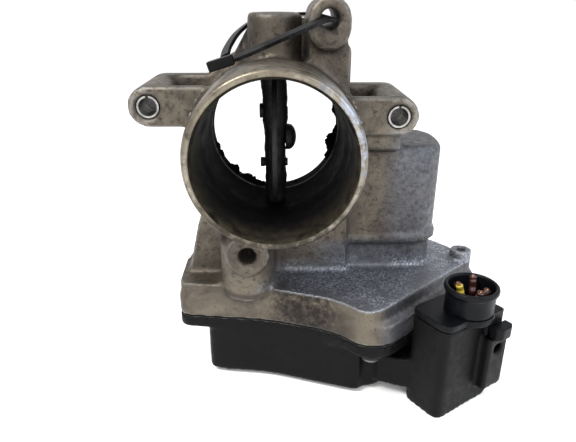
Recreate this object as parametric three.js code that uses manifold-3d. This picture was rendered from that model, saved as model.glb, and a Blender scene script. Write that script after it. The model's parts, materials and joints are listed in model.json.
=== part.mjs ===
// Electric throttle body of a diesel engine: a die-cast housing whose bore is closed by a butterfly plate,
// a DC motor in a pot beside the bore, a two-stage gear train in the pan below, a plastic cover with the
// sensor and the socket, and the cut-off harness plug. Millimetres, +Z up, -Y towards the inlet spigot.
import * as THREE from "three";
import { mergeVertices } from "three/addons/utils/BufferGeometryUtils.js";
import Module from "manifold-3d";

const wasm = await Module();
wasm.setup();

// ---------------------------------------------------------------- driving dimensions
const gap = 0.3; // between pieces that seat on or in each other
const roundSteps = 32; // sides of a medium circle
const fineSteps = 56; // sides of the bore and the spigot
const smallSteps = 14; // sides of screws, pins and small holes

const flapBoreRadius = 27; // bore where the plate closes
const boreWall = 5; // wall of the barrel around it
const inletOpening = 1; // how much wider the inlet bore is
const outletLip = 0.4; // how much the outlet bore steps in
const noseY = -41; // tip of the inlet spigot
const shoulderY = -12; // where the spigot meets the body
const flangeY = 22; // machined face against the manifold
const flangeThickness = 8;
const flangeLand = 8.3; // flange ring outside the bore
const manifoldRoom = 12; // kept clear behind that face
const ringGrooveWidth = 3.4;
const ringGrooveDepth = 2.2;

const boltHoleRadius = 3.4;
const holeChamfer = 0.6;
const sleeveWall = 0.7; // split dowel sleeves in the two ears
const sleeveLength = 12;
const sleeveSetback = 1; // behind the ear's face
const sleeveSlit = 1;
const earRadius = 7.5;
const earReach = 14.3; // ear hole outside the barrel
const earFrontY = -17;
const leftEarZ = 15;
const rightEarZ = 11;
const webThickness = 4; // front web of an ear
const topLugX = 19.6;
const topLugRise = 13.1; // lug hole above the barrel
const topLugRadius = 7.6;
const topLugPad = 4; // how far its pad stands out of the pillar
const lowBossX = -11;
const lowBossDrop = 8; // boss hole below the barrel
const lowBossRadius = 8.6;
const lowPillarWall = 2.3; // how much wider its pillar is
const lowBossY = -29;
const pillarDrop = 4; // foot of its pillar below the pan top

const shaftRadius = 4;
const bearingWall = 1.7;
const seatWall = 2; // tower in front of the bearing seat
const topBossRadius = 10;
const topBossRise = 15; // boss above the barrel
const bearingLength = 9;
const capSetback = 0.6; // bearing cap below the boss's top
const sealLength = 3.6;
const plateThickness = 2;
const plateClearance = 0.4; // plate edge to the bore
const plateScrewZ = 10.5;
const plateScrewRadius = 1.7;
const plateScrewHead = 2.9;
const domeNutRadius = 5.2;
const domeNutHeight = 4.6;
const throttleTravel = 88; // degrees from open to closed

const towerDepth = 25; // pan top below the barrel
const panHeight = 15;
const panWall = 3;
const ceilingThickness = 3;
const rimStep = 0.9; // upper pan wall set in above the rim
const ledgeStep = 2.6; // and further in along the slanting side
const rimHeight = 9;
const coverLip = 5;
const coverDepth = 28;
const coverWall = 2.2;

const sectorTeeth = 40; // of the full circle
const idlerPinionTeeth = 13;
const sectorModule = 1;
const wheelTeeth = 48;
const motorPinionTeeth = 12;
const wheelModule = 0.8;
const backlash = 0.16; // taken off each tooth at the pitch line
const idlerAngle = 10; // direction from the shaft to the idler
const motorAngle = 17.5; // direction from the idler to the motor
const idlerPinRadius = 2;
const springDepth = 11; // room for the return spring above the sector
const sectorFace = 6;
const stageGap = 1.5; // between sector and wheel
const wheelFace = 5.5;
const hubWall = 3.4;
const lowHubWall = 1.4; // of the hub's lower end, under the sector
const magnetRadius = 4.2;
const magnetHeight = 3;
const springWire = 0.75;
const springTurns = 3.75;
const springClearance = 1.1; // around the hub

const motorRadius = 15.5;
const motorFlat = 12; // half of the width across the can's flats
const motorCanWall = 1;
const motorLength = 51;
const potClearance = 0.7;
const potWall = 4.6;
const potTopWall = 5.4;
const motorShaftRadius = 1.6;
const motorScrewReach = 4; // mounting screws outside the can
const motorScrewRadius = 1.6;
const motorScrewHead = 3;
const endCapHeight = 5;
const brushSize = 4.5;
const commutatorRadius = 4;
const armaturePoles = 5;
const mountPlate = 1.6;

const screwRadius = 2;
const coverScrewHead = 3.6;
const coverPost = 4.4;
const coverLug = 5.4; // radius of a screw lug on the cover
const armRise = 5.5; // underside of the arm that carries the socket
const coverUnderside = 3.6; // rounding of the cover's bottom edge
const gasketInset = 0.6; // gasket groove inside the rim
const gasketDepth = 1.6;
const boardHalfX = 13;
const boardHalfY = 9;
const boardThickness = 1.6;

const plugYaw = 33; // the connector's long side, turned from +X
const plugReach = 26.9; // connector axis to the right of the pan's front corner
const plugSetback = 7.2; // and behind it
const shroudLength = 31.5;
const shroudWidth = 18;
const shroudWall = 1.6;
const shroudDrop = 4; // rim below the pan top
const shroudDepth = 23; // inside, down to the contact floor
const pinCount = 5;
const pinPitch = 4.4;
const pinReach = 9;
const collarRadius = 10.2;
const collarWall = 1.6;
const collarHeight = 10.4;
const wireRing = 4.3; // wires around the collar's axis
const wireRadius = 1.35;
const latchWidth = 7.8; // slot for the latch tongue
const latchHouseWidth = 11;
const latchHouseDrop = 7.5; // its top below the socket's rim
const plugSealHeight = 4;
const lockHalf = 4.4;
const lockHeight = 5;
const lockReach = 7.4; // in front of the socket
const contactHalf = 0.7; // half of a contact blade's width

const strapWidth = 3.6;
const strapThickness = 1.2;

// ---------------------------------------------------------------- places worked out from them
const barrelRadius = flapBoreRadius + boreWall;
const inletBoreRadius = flapBoreRadius + inletOpening;
const outletBoreRadius = flapBoreRadius - outletLip;
const flangeRadius = flapBoreRadius + flangeLand;
const leftEarX = -(barrelRadius + earReach);
const rightEarX = barrelRadius + earReach;
const topLugZ = barrelRadius + topLugRise;
const lowBossZ = -(barrelRadius + lowBossDrop);
const topBossZ = barrelRadius + topBossRise;
const bearingRadius = shaftRadius + gap + bearingWall;
const panTop = -(barrelRadius + towerDepth);
const ceiling = panTop - ceilingThickness;
const parting = panTop - panHeight;
const coverBottom = parting - coverDepth;
const coverFloor = coverBottom + coverWall;

const sectorPitch = (sectorTeeth * sectorModule) / 2;
const idlerPitch = (idlerPinionTeeth * sectorModule) / 2;
const wheelPitch = (wheelTeeth * wheelModule) / 2;
const pinionPitch = (motorPinionTeeth * wheelModule) / 2;
const idler = polar(0, 0, sectorPitch + idlerPitch, idlerAngle);
const motor = polar(idler.x, idler.y, wheelPitch + pinionPitch, motorAngle);
const sectorTop = ceiling - springDepth;
const sectorBottom = sectorTop - sectorFace;
const wheelTop = sectorBottom - stageGap;
const wheelBottom = wheelTop - wheelFace;
const hubRadius = shaftRadius + hubWall;
const hubTop = ceiling - 1.5;
const magnetSeat = sectorBottom - 5;
const hubBottom = magnetSeat - magnetHeight - 1;
const lowHubRadius = Math.max(shaftRadius, magnetRadius) + gap + lowHubWall;
const shaftTop = topBossZ - 4;
const shaftBottom = magnetSeat + 1;

const potHalfX = motorRadius + potClearance + potWall;
const potHalfY = motorFlat + potClearance + potWall;
const potTop = ceiling + motorLength + 2 * gap + potTopWall;
const canTop = ceiling + motorLength;

// ---------------------------------------------------------------- shapes
function polar(x, y, radius, degrees) {
  const a = THREE.MathUtils.degToRad(degrees);
  return new THREE.Vector2(x + radius * Math.cos(a), y + radius * Math.sin(a));
}

// A closed outline whose corners [x, y, radius] are rounded.
function roundedOutline(corners) {
  const shape = new THREE.Shape();
  corners.forEach(([x, y, radius = 0], i) => {
    const before = corners[(i + corners.length - 1) % corners.length];
    const after = corners[(i + 1) % corners.length];
    const corner = new THREE.Vector2(x, y);
    const back = new THREE.Vector2(before[0], before[1]).sub(corner);
    const on = new THREE.Vector2(after[0], after[1]).sub(corner);
    const reach = Math.min(radius, back.length() * 0.45, on.length() * 0.45);
    const start = corner.clone().addScaledVector(back.normalize(), reach);
    const end = corner.clone().addScaledVector(on.normalize(), reach);
    if (i === 0) shape.moveTo(start.x, start.y);
    else shape.lineTo(start.x, start.y);
    if (reach > 0) shape.quadraticCurveTo(x, y, end.x, end.y);
  });
  shape.closePath();
  return shape;
}

// The same corners moved in by a distance, each edge parallel to itself. Corners run anticlockwise.
function inset(corners, distance) {
  return corners.map(([x, y, radius = 0], i) => {
    const before = corners[(i + corners.length - 1) % corners.length];
    const after = corners[(i + 1) % corners.length];
    const a = new THREE.Vector2(x - before[0], y - before[1]).normalize();
    const b = new THREE.Vector2(after[0] - x, after[1] - y).normalize();
    const normalA = new THREE.Vector2(-a.y, a.x);
    const normalB = new THREE.Vector2(-b.y, b.x);
    const bisector = normalA.clone().add(normalB).normalize();
    const reach = distance / bisector.dot(normalA);
    const turnsLeft = a.cross(b) > 0;
    const newRadius = Math.max(0.4, turnsLeft ? radius - distance : radius + distance);
    return [x + bisector.x * reach, y + bisector.y * reach, newRadius];
  });
}

function rectangle(cx, cy, width, height, radius = 0) {
  const w = width / 2;
  const h = height / 2;
  return [
    [cx - w, cy - h, radius],
    [cx + w, cy - h, radius],
    [cx + w, cy + h, radius],
    [cx - w, cy + h, radius],
  ];
}

// ---------------------------------------------------------------- solids
function solid(geometry) {
  const bare = geometry.index ? geometry.toNonIndexed() : geometry.clone();
  bare.deleteAttribute("normal");
  bare.deleteAttribute("uv");
  const merged = mergeVertices(bare, 1e-4);
  return new wasm.Manifold(
    new wasm.Mesh({
      numProp: 3,
      vertProperties: new Float32Array(merged.attributes.position.array),
      triVerts: new Uint32Array(merged.index.array),
    }),
  );
}

function geometryOf(manifold) {
  const mesh = manifold.getMesh();
  const positions = new Float32Array(mesh.numVert * 3);
  for (let i = 0; i < mesh.numVert; i++) {
    for (let k = 0; k < 3; k++) positions[3 * i + k] = mesh.vertProperties[i * mesh.numProp + k];
  }
  const geometry = new THREE.BufferGeometry();
  geometry.setAttribute("position", new THREE.BufferAttribute(positions, 3));
  geometry.setIndex(new THREE.BufferAttribute(new Uint32Array(mesh.triVerts), 1));
  return geometry;
}

const joined = (...pieces) => pieces.reduce((all, piece) => all.add(piece));
const cut = (body, ...tools) => tools.reduce((left, tool) => left.subtract(tool), body);

// An outline in the XY plane, raised from bottom to top along Z.
function upright(shape, bottom, top, curveSegments = 4) {
  const options = { depth: top - bottom, bevelEnabled: false, curveSegments };
  return solid(new THREE.ExtrudeGeometry(shape, options).translate(0, 0, bottom));
}

// An outline in the XZ plane, running from front to back along Y.
function lengthwise(shape, front, back, curveSegments = 5) {
  const options = { depth: back - front, bevelEnabled: false, curveSegments };
  const geometry = new THREE.ExtrudeGeometry(shape, options);
  return solid(geometry.rotateX(Math.PI / 2).translate(0, back, 0));
}

function block(x0, x1, y0, y1, z0, z1) {
  const geometry = new THREE.BoxGeometry(x1 - x0, y1 - y0, z1 - z0);
  return solid(geometry.translate((x0 + x1) / 2, (y0 + y1) / 2, (z0 + z1) / 2));
}

function rodZ(x, y, radius, bottom, top, steps = smallSteps) {
  const geometry = new THREE.CylinderGeometry(radius, radius, top - bottom, steps);
  return solid(geometry.rotateX(Math.PI / 2).translate(x, y, (bottom + top) / 2));
}

function rodY(x, z, radius, front, back, steps = roundSteps) {
  const geometry = new THREE.CylinderGeometry(radius, radius, back - front, steps);
  return solid(geometry.translate(x, (front + back) / 2, z));
}

function rodX(y, z, radius, left, right, steps = smallSteps) {
  const geometry = new THREE.CylinderGeometry(radius, radius, right - left, steps);
  return solid(geometry.rotateZ(-Math.PI / 2).translate((left + right) / 2, y, z));
}

// A closed profile of [radius, height] points, turned about its axis.
function lathe(profile, steps) {
  const points = profile.map(([radius, height]) => new THREE.Vector2(radius, height));
  if (THREE.ShapeUtils.area(points) < 0) points.reverse();
  const onAxis = points.filter((p) => p.x === 0).length > 0;
  if (!onAxis) points.push(points[0].clone());
  else while (points[0].x !== 0 || points[points.length - 1].x !== 0) points.push(points.shift());
  return new THREE.LatheGeometry(points, steps);
}

const turnedY = (profile, steps = fineSteps, x = 0, z = 0) =>
  solid(lathe(profile, steps).translate(x, 0, z));
const turnedZ = (profile, steps = roundSteps, x = 0, y = 0) =>
  solid(lathe(profile, steps).rotateX(Math.PI / 2).translate(x, y, 0));

function tubeZ(x, y, inner, outer, bottom, top, steps = roundSteps) {
  const profile = [[inner, bottom], [outer, bottom], [outer, top], [inner, top]];
  return turnedZ(profile, steps, x, y);
}

function tubeY(x, z, inner, outer, front, back, steps = roundSteps) {
  const profile = [[inner, front], [outer, front], [outer, back], [inner, back]];
  return turnedY(profile, steps, x, z);
}

// ---------------------------------------------------------------- gears
const pressureAngle = THREE.MathUtils.degToRad(20);
const involute = (angle) => Math.tan(angle) - angle;

// An involute wheel's outline about the origin, with a tooth centred on the direction of phase.
function gearOutline(teeth, module, phase, addendum = 0.85, dedendum = 1.2) {
  const pitch = (teeth * module) / 2;
  const base = pitch * Math.cos(pressureAngle);
  const tip = pitch + addendum * module;
  const root = pitch - dedendum * module;
  const halfTooth = Math.PI / (2 * teeth) - backlash / (2 * pitch) + involute(pressureAngle);
  const foot = Math.max(base, root);
  const radii = [foot, pitch, tip];
  const shape = new THREE.Shape();
  for (let i = 0; i < teeth; i++) {
    const centre = phase + (i * 2 * Math.PI) / teeth;
    const flank = radii.map((r) => [r, halfTooth - involute(Math.acos(Math.min(1, base / r)))]);
    const up = flank.map(([r, a]) => [r, -a]);
    if (foot - root > 0.05) up.unshift([root, up[0][1]]);
    const down = [...up].reverse().map(([r, a]) => [r, -a]);
    [...up, ...down].forEach(([r, a], k) => {
      const x = r * Math.cos(centre + a);
      const y = r * Math.sin(centre + a);
      if (i === 0 && k === 0) shape.moveTo(x, y);
      else shape.lineTo(x, y);
    });
  }
  shape.closePath();
  return shape;
}

// A pie slice of a disc, used to keep part of a wheel.
function wedge(radius, fromDegrees, toDegrees, bottom, top) {
  const shape = new THREE.Shape();
  const steps = 12;
  shape.moveTo(0, 0);
  for (let i = 0; i <= steps; i++) {
    const p = polar(0, 0, radius, fromDegrees + ((toDegrees - fromDegrees) * i) / steps);
    shape.lineTo(p.x, p.y);
  }
  shape.closePath();
  return upright(shape, bottom, top);
}

// ---------------------------------------------------------------- materials
const paint = (color, roughness, metalness) => ({ color, roughness, metalness });
const castAluminium = paint(0x8b8880, 0.5, 0.85);
const steel = paint(0xa9abad, 0.35, 1);
const darkSteel = paint(0x2a2726, 0.7, 0.6);
const blackPlastic = paint(0x17181b, 0.55, 0);
const palePlastic = paint(0xcfc8b4, 0.5, 0);
const rubber = paint(0x101010, 0.85, 0);
const brass = paint(0xb8934a, 0.35, 1);
const copper = paint(0xa5603a, 0.4, 1);
const zinc = paint(0xb9bcc0, 0.35, 1);
const ferrite = paint(0x35363a, 0.8, 0);
const carbon = paint(0x222222, 0.8, 0.1);
const boardGreen = paint(0x1f5a3a, 0.5, 0);

const assembly = new THREE.Group();

function add(name, body, look, parent = assembly) {
  const mesh = new THREE.Mesh(geometryOf(body), new THREE.MeshStandardMaterial(look));
  mesh.name = name;
  parent.add(mesh);
  return mesh;
}

// ---------------------------------------------------------------- pan outline and screw places
const backWallY = idler.y + wheelPitch + wheelModule + 1 + panWall;
const panRight = motor.x + potHalfX + 20.2;
const panLeft = -(barrelRadius + 9);
const waistY = -(sectorPitch + sectorModule + panWall - 0.4);
const cornerX = idler.x + 17;
const cornerY = waistY - 19.6;
const panOutline = [
  [panLeft, -19, 5],
  [panLeft + 19, -21.5, 3],
  [-4, waistY, 7],
  [idler.x - 4, waistY - 9, 7],
  [cornerX - 10, cornerY, 6],
  [cornerX + 0.5, cornerY + 0.5, 7],
  [panRight, -1, 5],
  [panRight - 2, 8.5, 6],
  [motor.x + potHalfX + 3, backWallY, 9],
  [idler.x - 16, backWallY, 14],
  [panLeft + 14, backWallY - 5, 9],
  [panLeft, 12, 9],
];
// The upper wall is set in above the rim, and further in along the slanting side.
const upperOutline = inset(panOutline, rimStep).map(([x, y, radius], i) =>
  i === 5 || i === 6 ? [x - ledgeStep, y + ledgeStep * 0.6, radius] : [x, y, radius],
);
const coverScrews = [
  new THREE.Vector2(panLeft + 5.2, -9.8),
  new THREE.Vector2(cornerX - 5.5, cornerY + 6.5),
  new THREE.Vector2(panRight - 7, 3.2),
  new THREE.Vector2(motor.x + potHalfX - 1.5, backWallY - 5),
  new THREE.Vector2(panLeft + 8.5, 13),
];
const motorScrews = [-15, 165].map((angle) =>
  polar(motor.x, motor.y, motorRadius + motorScrewReach, angle),
);

// ---------------------------------------------------------------- housing
function castBarrel() {
  return turnedY([
    [0, noseY],
    [barrelRadius - 1.8, noseY],
    [barrelRadius - 0.5, noseY + 1.4],
    [barrelRadius, noseY + 3.2],
    [barrelRadius, noseY + 5],
    [barrelRadius - 0.6, noseY + 5.5],
    [barrelRadius - 0.6, noseY + 6.6],
    [barrelRadius, noseY + 7.1],
    [barrelRadius, shoulderY],
    [barrelRadius - 1, shoulderY + 1],
    [barrelRadius - 1, flangeY - flangeThickness],
    [flangeRadius, flangeY - flangeThickness],
    [flangeRadius, flangeY],
    [0, flangeY],
  ]);
}

function boreTool() {
  return turnedY([
    [0, noseY - 1],
    [inletBoreRadius + 0.7, noseY - 1],
    [inletBoreRadius + 0.7, noseY],
    [inletBoreRadius, noseY + 0.8],
    [inletBoreRadius, -17],
    [flapBoreRadius, -10],
    [flapBoreRadius, 13],
    [outletBoreRadius, 13.4],
    [outletBoreRadius, flangeY - 0.6],
    [outletBoreRadius + 0.6, flangeY],
    [outletBoreRadius + 0.6, flangeY + 1],
    [0, flangeY + 1],
  ]);
}

// A bolt ear: a long boss, a thin front web and a foot on the rear flange, with a pocket between them.
function ear(x, z, webLow) {
  const inner = x < 0 ? -(barrelRadius - 7) : barrelRadius - 7;
  const [low, high] = x < 0 ? [x, inner] : [inner, x];
  return joined(
    rodY(x, z, earRadius, earFrontY, flangeY, 24),
    block(low, high, earFrontY, earFrontY + webThickness, z + webLow, z + earRadius),
    block(low, high, flangeY - flangeThickness, flangeY, z - earRadius, z + earRadius),
  );
}

function topLug() {
  const pad = new THREE.Shape();
  pad.absarc(topLugX, topLugZ, topLugRadius, 0, Math.PI, false);
  pad.absarc(topLugX, topLugZ - 3.2, topLugRadius, Math.PI, 2 * Math.PI, false);
  pad.closePath();
  const padBack = earFrontY + topLugPad;
  const pillarLeft = topLugX - topLugRadius;
  const pillarRight = topLugX + topLugRadius + 0.9;
  return joined(
    lengthwise(pad, earFrontY, padBack + 1, 8),
    rodY(topLugX, topLugZ, topLugRadius - 0.6, padBack - 1, flangeY, 24),
    block(pillarLeft + 0.6, topLugX + topLugRadius - 0.6, padBack, flangeY, barrelRadius - 4, topLugZ),
    block(pillarLeft + 0.6, pillarRight, padBack, flangeY, barrelRadius * 0.45, barrelRadius + 3),
    block(topBossRadius - 2, pillarLeft + 2, 4, flangeY - flangeThickness, barrelRadius - 4, topLugZ - 1),
  );
}

function topBoss() {
  const rib = new THREE.Shape();
  rib.moveTo(-topBossRadius + 0.8, topBossZ - 4);
  rib.lineTo(-16.5, barrelRadius - 1.5);
  rib.lineTo(-22, barrelRadius - 14);
  rib.lineTo(0, barrelRadius - 14);
  rib.lineTo(0, topBossZ - 4);
  rib.closePath();
  return joined(
    rodZ(0, 0, topBossRadius, barrelRadius - 6, topBossZ - 1, roundSteps),
    turnedZ([
      [0, topBossZ - 1.2],
      [topBossRadius, topBossZ - 1.2],
      [topBossRadius - 1, topBossZ],
      [0, topBossZ],
    ]),
    lengthwise(rib, 2, 6.5),
    block(-13, 13, 0, flangeY, barrelRadius - 10, barrelRadius + 2.5),
  );
}

function lowBoss() {
  const pillarX = lowBossX - 0.5;
  const pillarRadius = lowBossRadius + lowPillarWall;
  const pillarY = lowBossY + 1.6 + pillarRadius;
  return joined(
    rodY(lowBossX, lowBossZ, lowBossRadius, lowBossY, flangeY - 4, roundSteps),
    rodZ(pillarX, pillarY, pillarRadius, panTop - pillarDrop, lowBossZ + 2, roundSteps),
    block(pillarX - pillarRadius, pillarX + pillarRadius, pillarY, 0, panTop - 1, lowBossZ + 2),
  );
}

// The broad neck between barrel and pan, wider on the left than the barrel.
function tower() {
  const wall = new THREE.Shape();
  wall.moveTo(panLeft + 3.5, panTop - 1);
  wall.lineTo(panLeft + 8.5, -(barrelRadius + 4));
  wall.lineTo(-(barrelRadius - 5), -18);
  wall.lineTo(barrelRadius - 2, -18);
  wall.lineTo(barrelRadius - 2, panTop - 1);
  wall.closePath();
  return lengthwise(wall, -(seat + seatWall), flangeY);
}

function potOutline(grow) {
  const left = barrelRadius - 8;
  const right = motor.x + potHalfX + grow;
  const front = motor.y - potHalfY - grow;
  const back = motor.y + potHalfY + grow;
  return roundedOutline([[left, front, 2], [right, front, 15], [right, back, 15], [left, back, 2]]);
}

function motorPot() {
  const beadTop = panTop + 15;
  const dome = 2.2;
  return joined(
    upright(potOutline(-0.8), panTop - 1, beadTop - 2, 7),
    upright(potOutline(0.9), beadTop - 3, beadTop, 7),
    upright(potOutline(0), beadTop - 1, potTop - dome, 7),
    upright(potOutline(-0.9), beadTop, potTop - dome / 3, 7),
    upright(potOutline(-2.2), beadTop, potTop, 7),
  );
}

function canOutline(grow) {
  const radius = motorRadius + grow;
  const flat = motorFlat + grow;
  const half = Math.asin(flat / radius);
  const shape = new THREE.Shape();
  shape.absarc(motor.x, motor.y, radius, -half, half, false);
  shape.absarc(motor.x, motor.y, radius, Math.PI - half, Math.PI + half, false);
  shape.closePath();
  return shape;
}

function pan() {
  return joined(
    upright(roundedOutline(upperOutline), parting + rimHeight - 1, panTop),
    upright(roundedOutline(panOutline), parting, parting + rimHeight),
    cut(
      rodZ(coverScrews[2].x, coverScrews[2].y, coverPost + 0.4, parting, panTop + 4.5, 18),
      rodZ(coverScrews[2].x, coverScrews[2].y, screwRadius, panTop, panTop + 5),
    ),
  );
}

function panCavity() {
  const posts = coverScrews.map((p) => rodZ(p.x, p.y, coverPost, parting - 2, panTop, 18));
  const idlerPost = rodZ(idler.x, idler.y, 5, ceiling - 4, panTop, 18);
  const hollow = joined(
    upright(roundedOutline(inset(upperOutline, panWall)), parting - 1, ceiling),
    upright(roundedOutline(inset(panOutline, panWall)), parting - 1, parting + rimHeight - panWall),
  );
  return cut(hollow, ...posts, idlerPost);
}

const seat = bearingRadius + gap;
const lowSeatTop = ceiling + bearingLength + sealLength + 4 * gap;
const topSeatBottom = shaftTop - bearingLength - sealLength - 2 * gap - 1;

function shaftSeats() {
  return joined(
    rodZ(0, 0, shaftRadius + gap, ceiling - 1, shaftTop, 24),
    rodZ(0, 0, seat, ceiling - 1, lowSeatTop, 24),
    rodZ(0, 0, seat, topSeatBottom, topBossZ + 1, 24),
  );
}

function boltHole(x, z, radius, front) {
  return turnedY(
    [
      [0, front - 1],
      [radius + holeChamfer, front - 1],
      [radius + holeChamfer, front],
      [radius, front + holeChamfer],
      [radius, flangeY + 1],
      [0, flangeY + 1],
    ],
    20,
    x,
    z,
  );
}

const sleeveHole = boltHoleRadius + sleeveWall;
const grooveMiddle = outletBoreRadius + 4.2;
const grooveInnerEdge = grooveMiddle - ringGrooveWidth / 2;
const grooveOuterEdge = grooveMiddle + ringGrooveWidth / 2;
const grooveFloor = flangeY - ringGrooveDepth;
const housing = cut(
  joined(
    castBarrel(),
    ear(leftEarX, leftEarZ, -earRadius),
    ear(rightEarX, rightEarZ, -earRadius),
    block(barrelRadius - 7, rightEarX + 3, earFrontY + 8, motor.y, potTop - 1, rightEarZ - 2),
    topLug(),
    topBoss(),
    lowBoss(),
    tower(),
    motorPot(),
    pan(),
  ),
  boreTool(),
  panCavity(),
  upright(canOutline(potClearance), ceiling - 1, potTop - potTopWall, 14),
  shaftSeats(),
  boltHole(leftEarX, leftEarZ, sleeveHole + gap, earFrontY),
  boltHole(rightEarX, rightEarZ, sleeveHole + gap, earFrontY),
  boltHole(topLugX, topLugZ, boltHoleRadius, earFrontY),
  boltHole(lowBossX, lowBossZ, boltHoleRadius, lowBossY),
  rodY(0, 0, flangeRadius + gap, flangeY, flangeY + manifoldRoom, fineSteps),
  tubeY(0, 0, grooveInnerEdge, grooveOuterEdge, grooveFloor, flangeY + 1, fineSteps),
  ...coverScrews.map((p) => rodZ(p.x, p.y, screwRadius + gap, parting - 1, parting + 11)),
  ...motorScrews.map((p) => rodZ(p.x, p.y, motorScrewRadius + gap, ceiling - 1, ceiling + 1.6)),
  rodZ(idler.x, idler.y, idlerPinRadius + gap, ceiling - 5, panTop - 1),
);
add("housing", housing, castAluminium);

for (const [side, x, z] of [["left", leftEarX, leftEarZ], ["right", rightEarX, rightEarZ]]) {
  const front = earFrontY + sleeveSetback;
  const back = front + sleeveLength;
  const half = sleeveSlit / 2;
  const sleeve = tubeY(x, z, boltHoleRadius, sleeveHole, front, back, 20);
  const slit = block(x - half, x + half, front - 1, back + 1, z + 1, z + sleeveHole + 1);
  add(`locating_sleeve_${side}`, cut(sleeve, slit), steel);
}
add(
  "flange_ring_seal",
  tubeY(0, 0, grooveInnerEdge + gap, grooveOuterEdge - gap, grooveFloor + gap, flangeY - 0.2, 40),
  rubber,
);

// ---------------------------------------------------------------- shaft bearings and seals
const bearingInner = shaftRadius + gap;
const lowBearingTop = ceiling + gap + bearingLength;
const topBearingBottom = shaftTop - bearingLength - gap;
const lowSealBottom = lowBearingTop + gap;
const topSealTop = topBearingBottom - gap;

function ring(name, bottom, top, look) {
  add(name, tubeZ(0, 0, bearingInner, bearingRadius, bottom, top, 24), look);
}

ring("lower_ball_bearing", ceiling + gap, lowBearingTop, steel);
ring("lower_shaft_seal", lowSealBottom, lowSealBottom + sealLength, rubber);
ring("upper_needle_bearing", topBearingBottom, shaftTop - gap, steel);
ring("upper_shaft_seal", topSealTop - sealLength, topSealTop, rubber);
add("bearing_cap", rodZ(0, 0, bearingRadius, shaftTop + 1, topBossZ - capSetback, 24), zinc);

// ---------------------------------------------------------------- throttle shaft and plate
const slotHalf = plateThickness / 2 + gap;
const slotReach = flapBoreRadius - 0.1;
const shaftScrewHole = plateScrewRadius + gap;
const throttleScrews = [plateScrewZ, -plateScrewZ];
const shaft = cut(
  rodZ(0, 0, shaftRadius, shaftBottom, shaftTop - 0.5, 20),
  block(-slotHalf, slotHalf, -5, 5, -slotReach, slotReach),
  ...[...throttleScrews, 0].map((z) => rodX(0, z, shaftScrewHole, -6, 6)),
);
add("throttle_shaft", shaft, steel);

const plate = cut(
  rodX(0, 0, flapBoreRadius - plateClearance, -plateThickness / 2, plateThickness / 2, 44),
  ...[...throttleScrews, 0].map((z) => rodX(0, z, shaftScrewHole, -6, 6)),
);
add("throttle_plate", plate, brass);

throttleScrews.forEach((z, i) => {
  const screw = joined(
    rodX(0, z, plateScrewRadius, -shaftRadius - 1, shaftRadius + 1.2, 12),
    rodX(0, z, plateScrewHead - 0.9 * i, -shaftRadius - 2, -shaftRadius - gap, 16),
  );
  add(`plate_screw_${i + 1}`, screw, darkSteel);
});

const domeFoot = shaftRadius + gap;
const domeEdge = shaftRadius + 1.6;
const domeProfile = [
  [0, domeFoot],
  [domeNutRadius, domeFoot],
  [domeNutRadius, domeEdge],
];
for (let i = 1; i <= 4; i++) {
  const a = (i * Math.PI) / 8;
  domeProfile.push([domeNutRadius * Math.cos(a), domeEdge + (domeNutHeight - 1.6) * Math.sin(a)]);
}
domeProfile[domeProfile.length - 1][0] = 0;
const domeNut = joined(
  solid(lathe(domeProfile, 20).rotateZ(-Math.PI / 2)),
  rodX(0, 0, plateScrewRadius, -shaftRadius - 1.6, shaftRadius + 1, 12),
);
add("plate_centre_rivet", domeNut, darkSteel);

// ---------------------------------------------------------------- gear train
const toRadians = THREE.MathUtils.degToRad;
const toothStep = 360 / sectorTeeth;
const firstGap = idlerAngle + 1.5 * toothStep;
const lastGap = firstGap - toothStep * (Math.ceil(throttleTravel / toothStep) + 2);
const sectorOutline = gearOutline(sectorTeeth, sectorModule, toRadians(idlerAngle));
const sectorSlice = wedge(sectorPitch + 5, lastGap, firstGap, sectorBottom - 1, sectorTop + 1);
const sector = cut(
  joined(
    upright(sectorOutline, sectorBottom, sectorTop).intersect(sectorSlice),
    rodZ(0, 0, hubRadius, sectorBottom, hubTop, 24),
    rodZ(0, 0, lowHubRadius, hubBottom, sectorBottom + 1, 24),
  ),
  rodZ(0, 0, shaftRadius + gap, magnetSeat, hubTop + 1, 20),
  rodZ(0, 0, magnetRadius + gap, hubBottom - 1, magnetSeat + 0.1, 20),
);
add("sector_gear", sector, blackPlastic);
const magnetTop = magnetSeat - gap;
add("sensor_magnet", rodZ(0, 0, magnetRadius, magnetTop - magnetHeight, magnetTop, 20), ferrite);

const idlerTop = sectorTop + 1;
const wheelOutline = gearOutline(wheelTeeth, wheelModule, toRadians(motorAngle));
const wheel = upright(wheelOutline, wheelBottom, wheelTop);
const pinionPhase = toRadians(idlerAngle + 180 + 180 / idlerPinionTeeth);
const pinionOutline = gearOutline(idlerPinionTeeth, sectorModule, pinionPhase);
const pinion = upright(pinionOutline, wheelTop - 1, idlerTop);
const idlerBore = rodZ(0, 0, idlerPinRadius + gap, wheelBottom - 1, idlerTop + 1);
const idlerGear = cut(joined(wheel, pinion), idlerBore);
const idlerGroup = new THREE.Group();
idlerGroup.position.set(idler.x, idler.y, 0);
assembly.add(idlerGroup);
add("idler_gear", idlerGear, palePlastic, idlerGroup);
add("idler_pin", rodZ(0, 0, idlerPinRadius, coverFloor + 2, panTop - 1 - gap), steel, idlerGroup);

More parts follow.
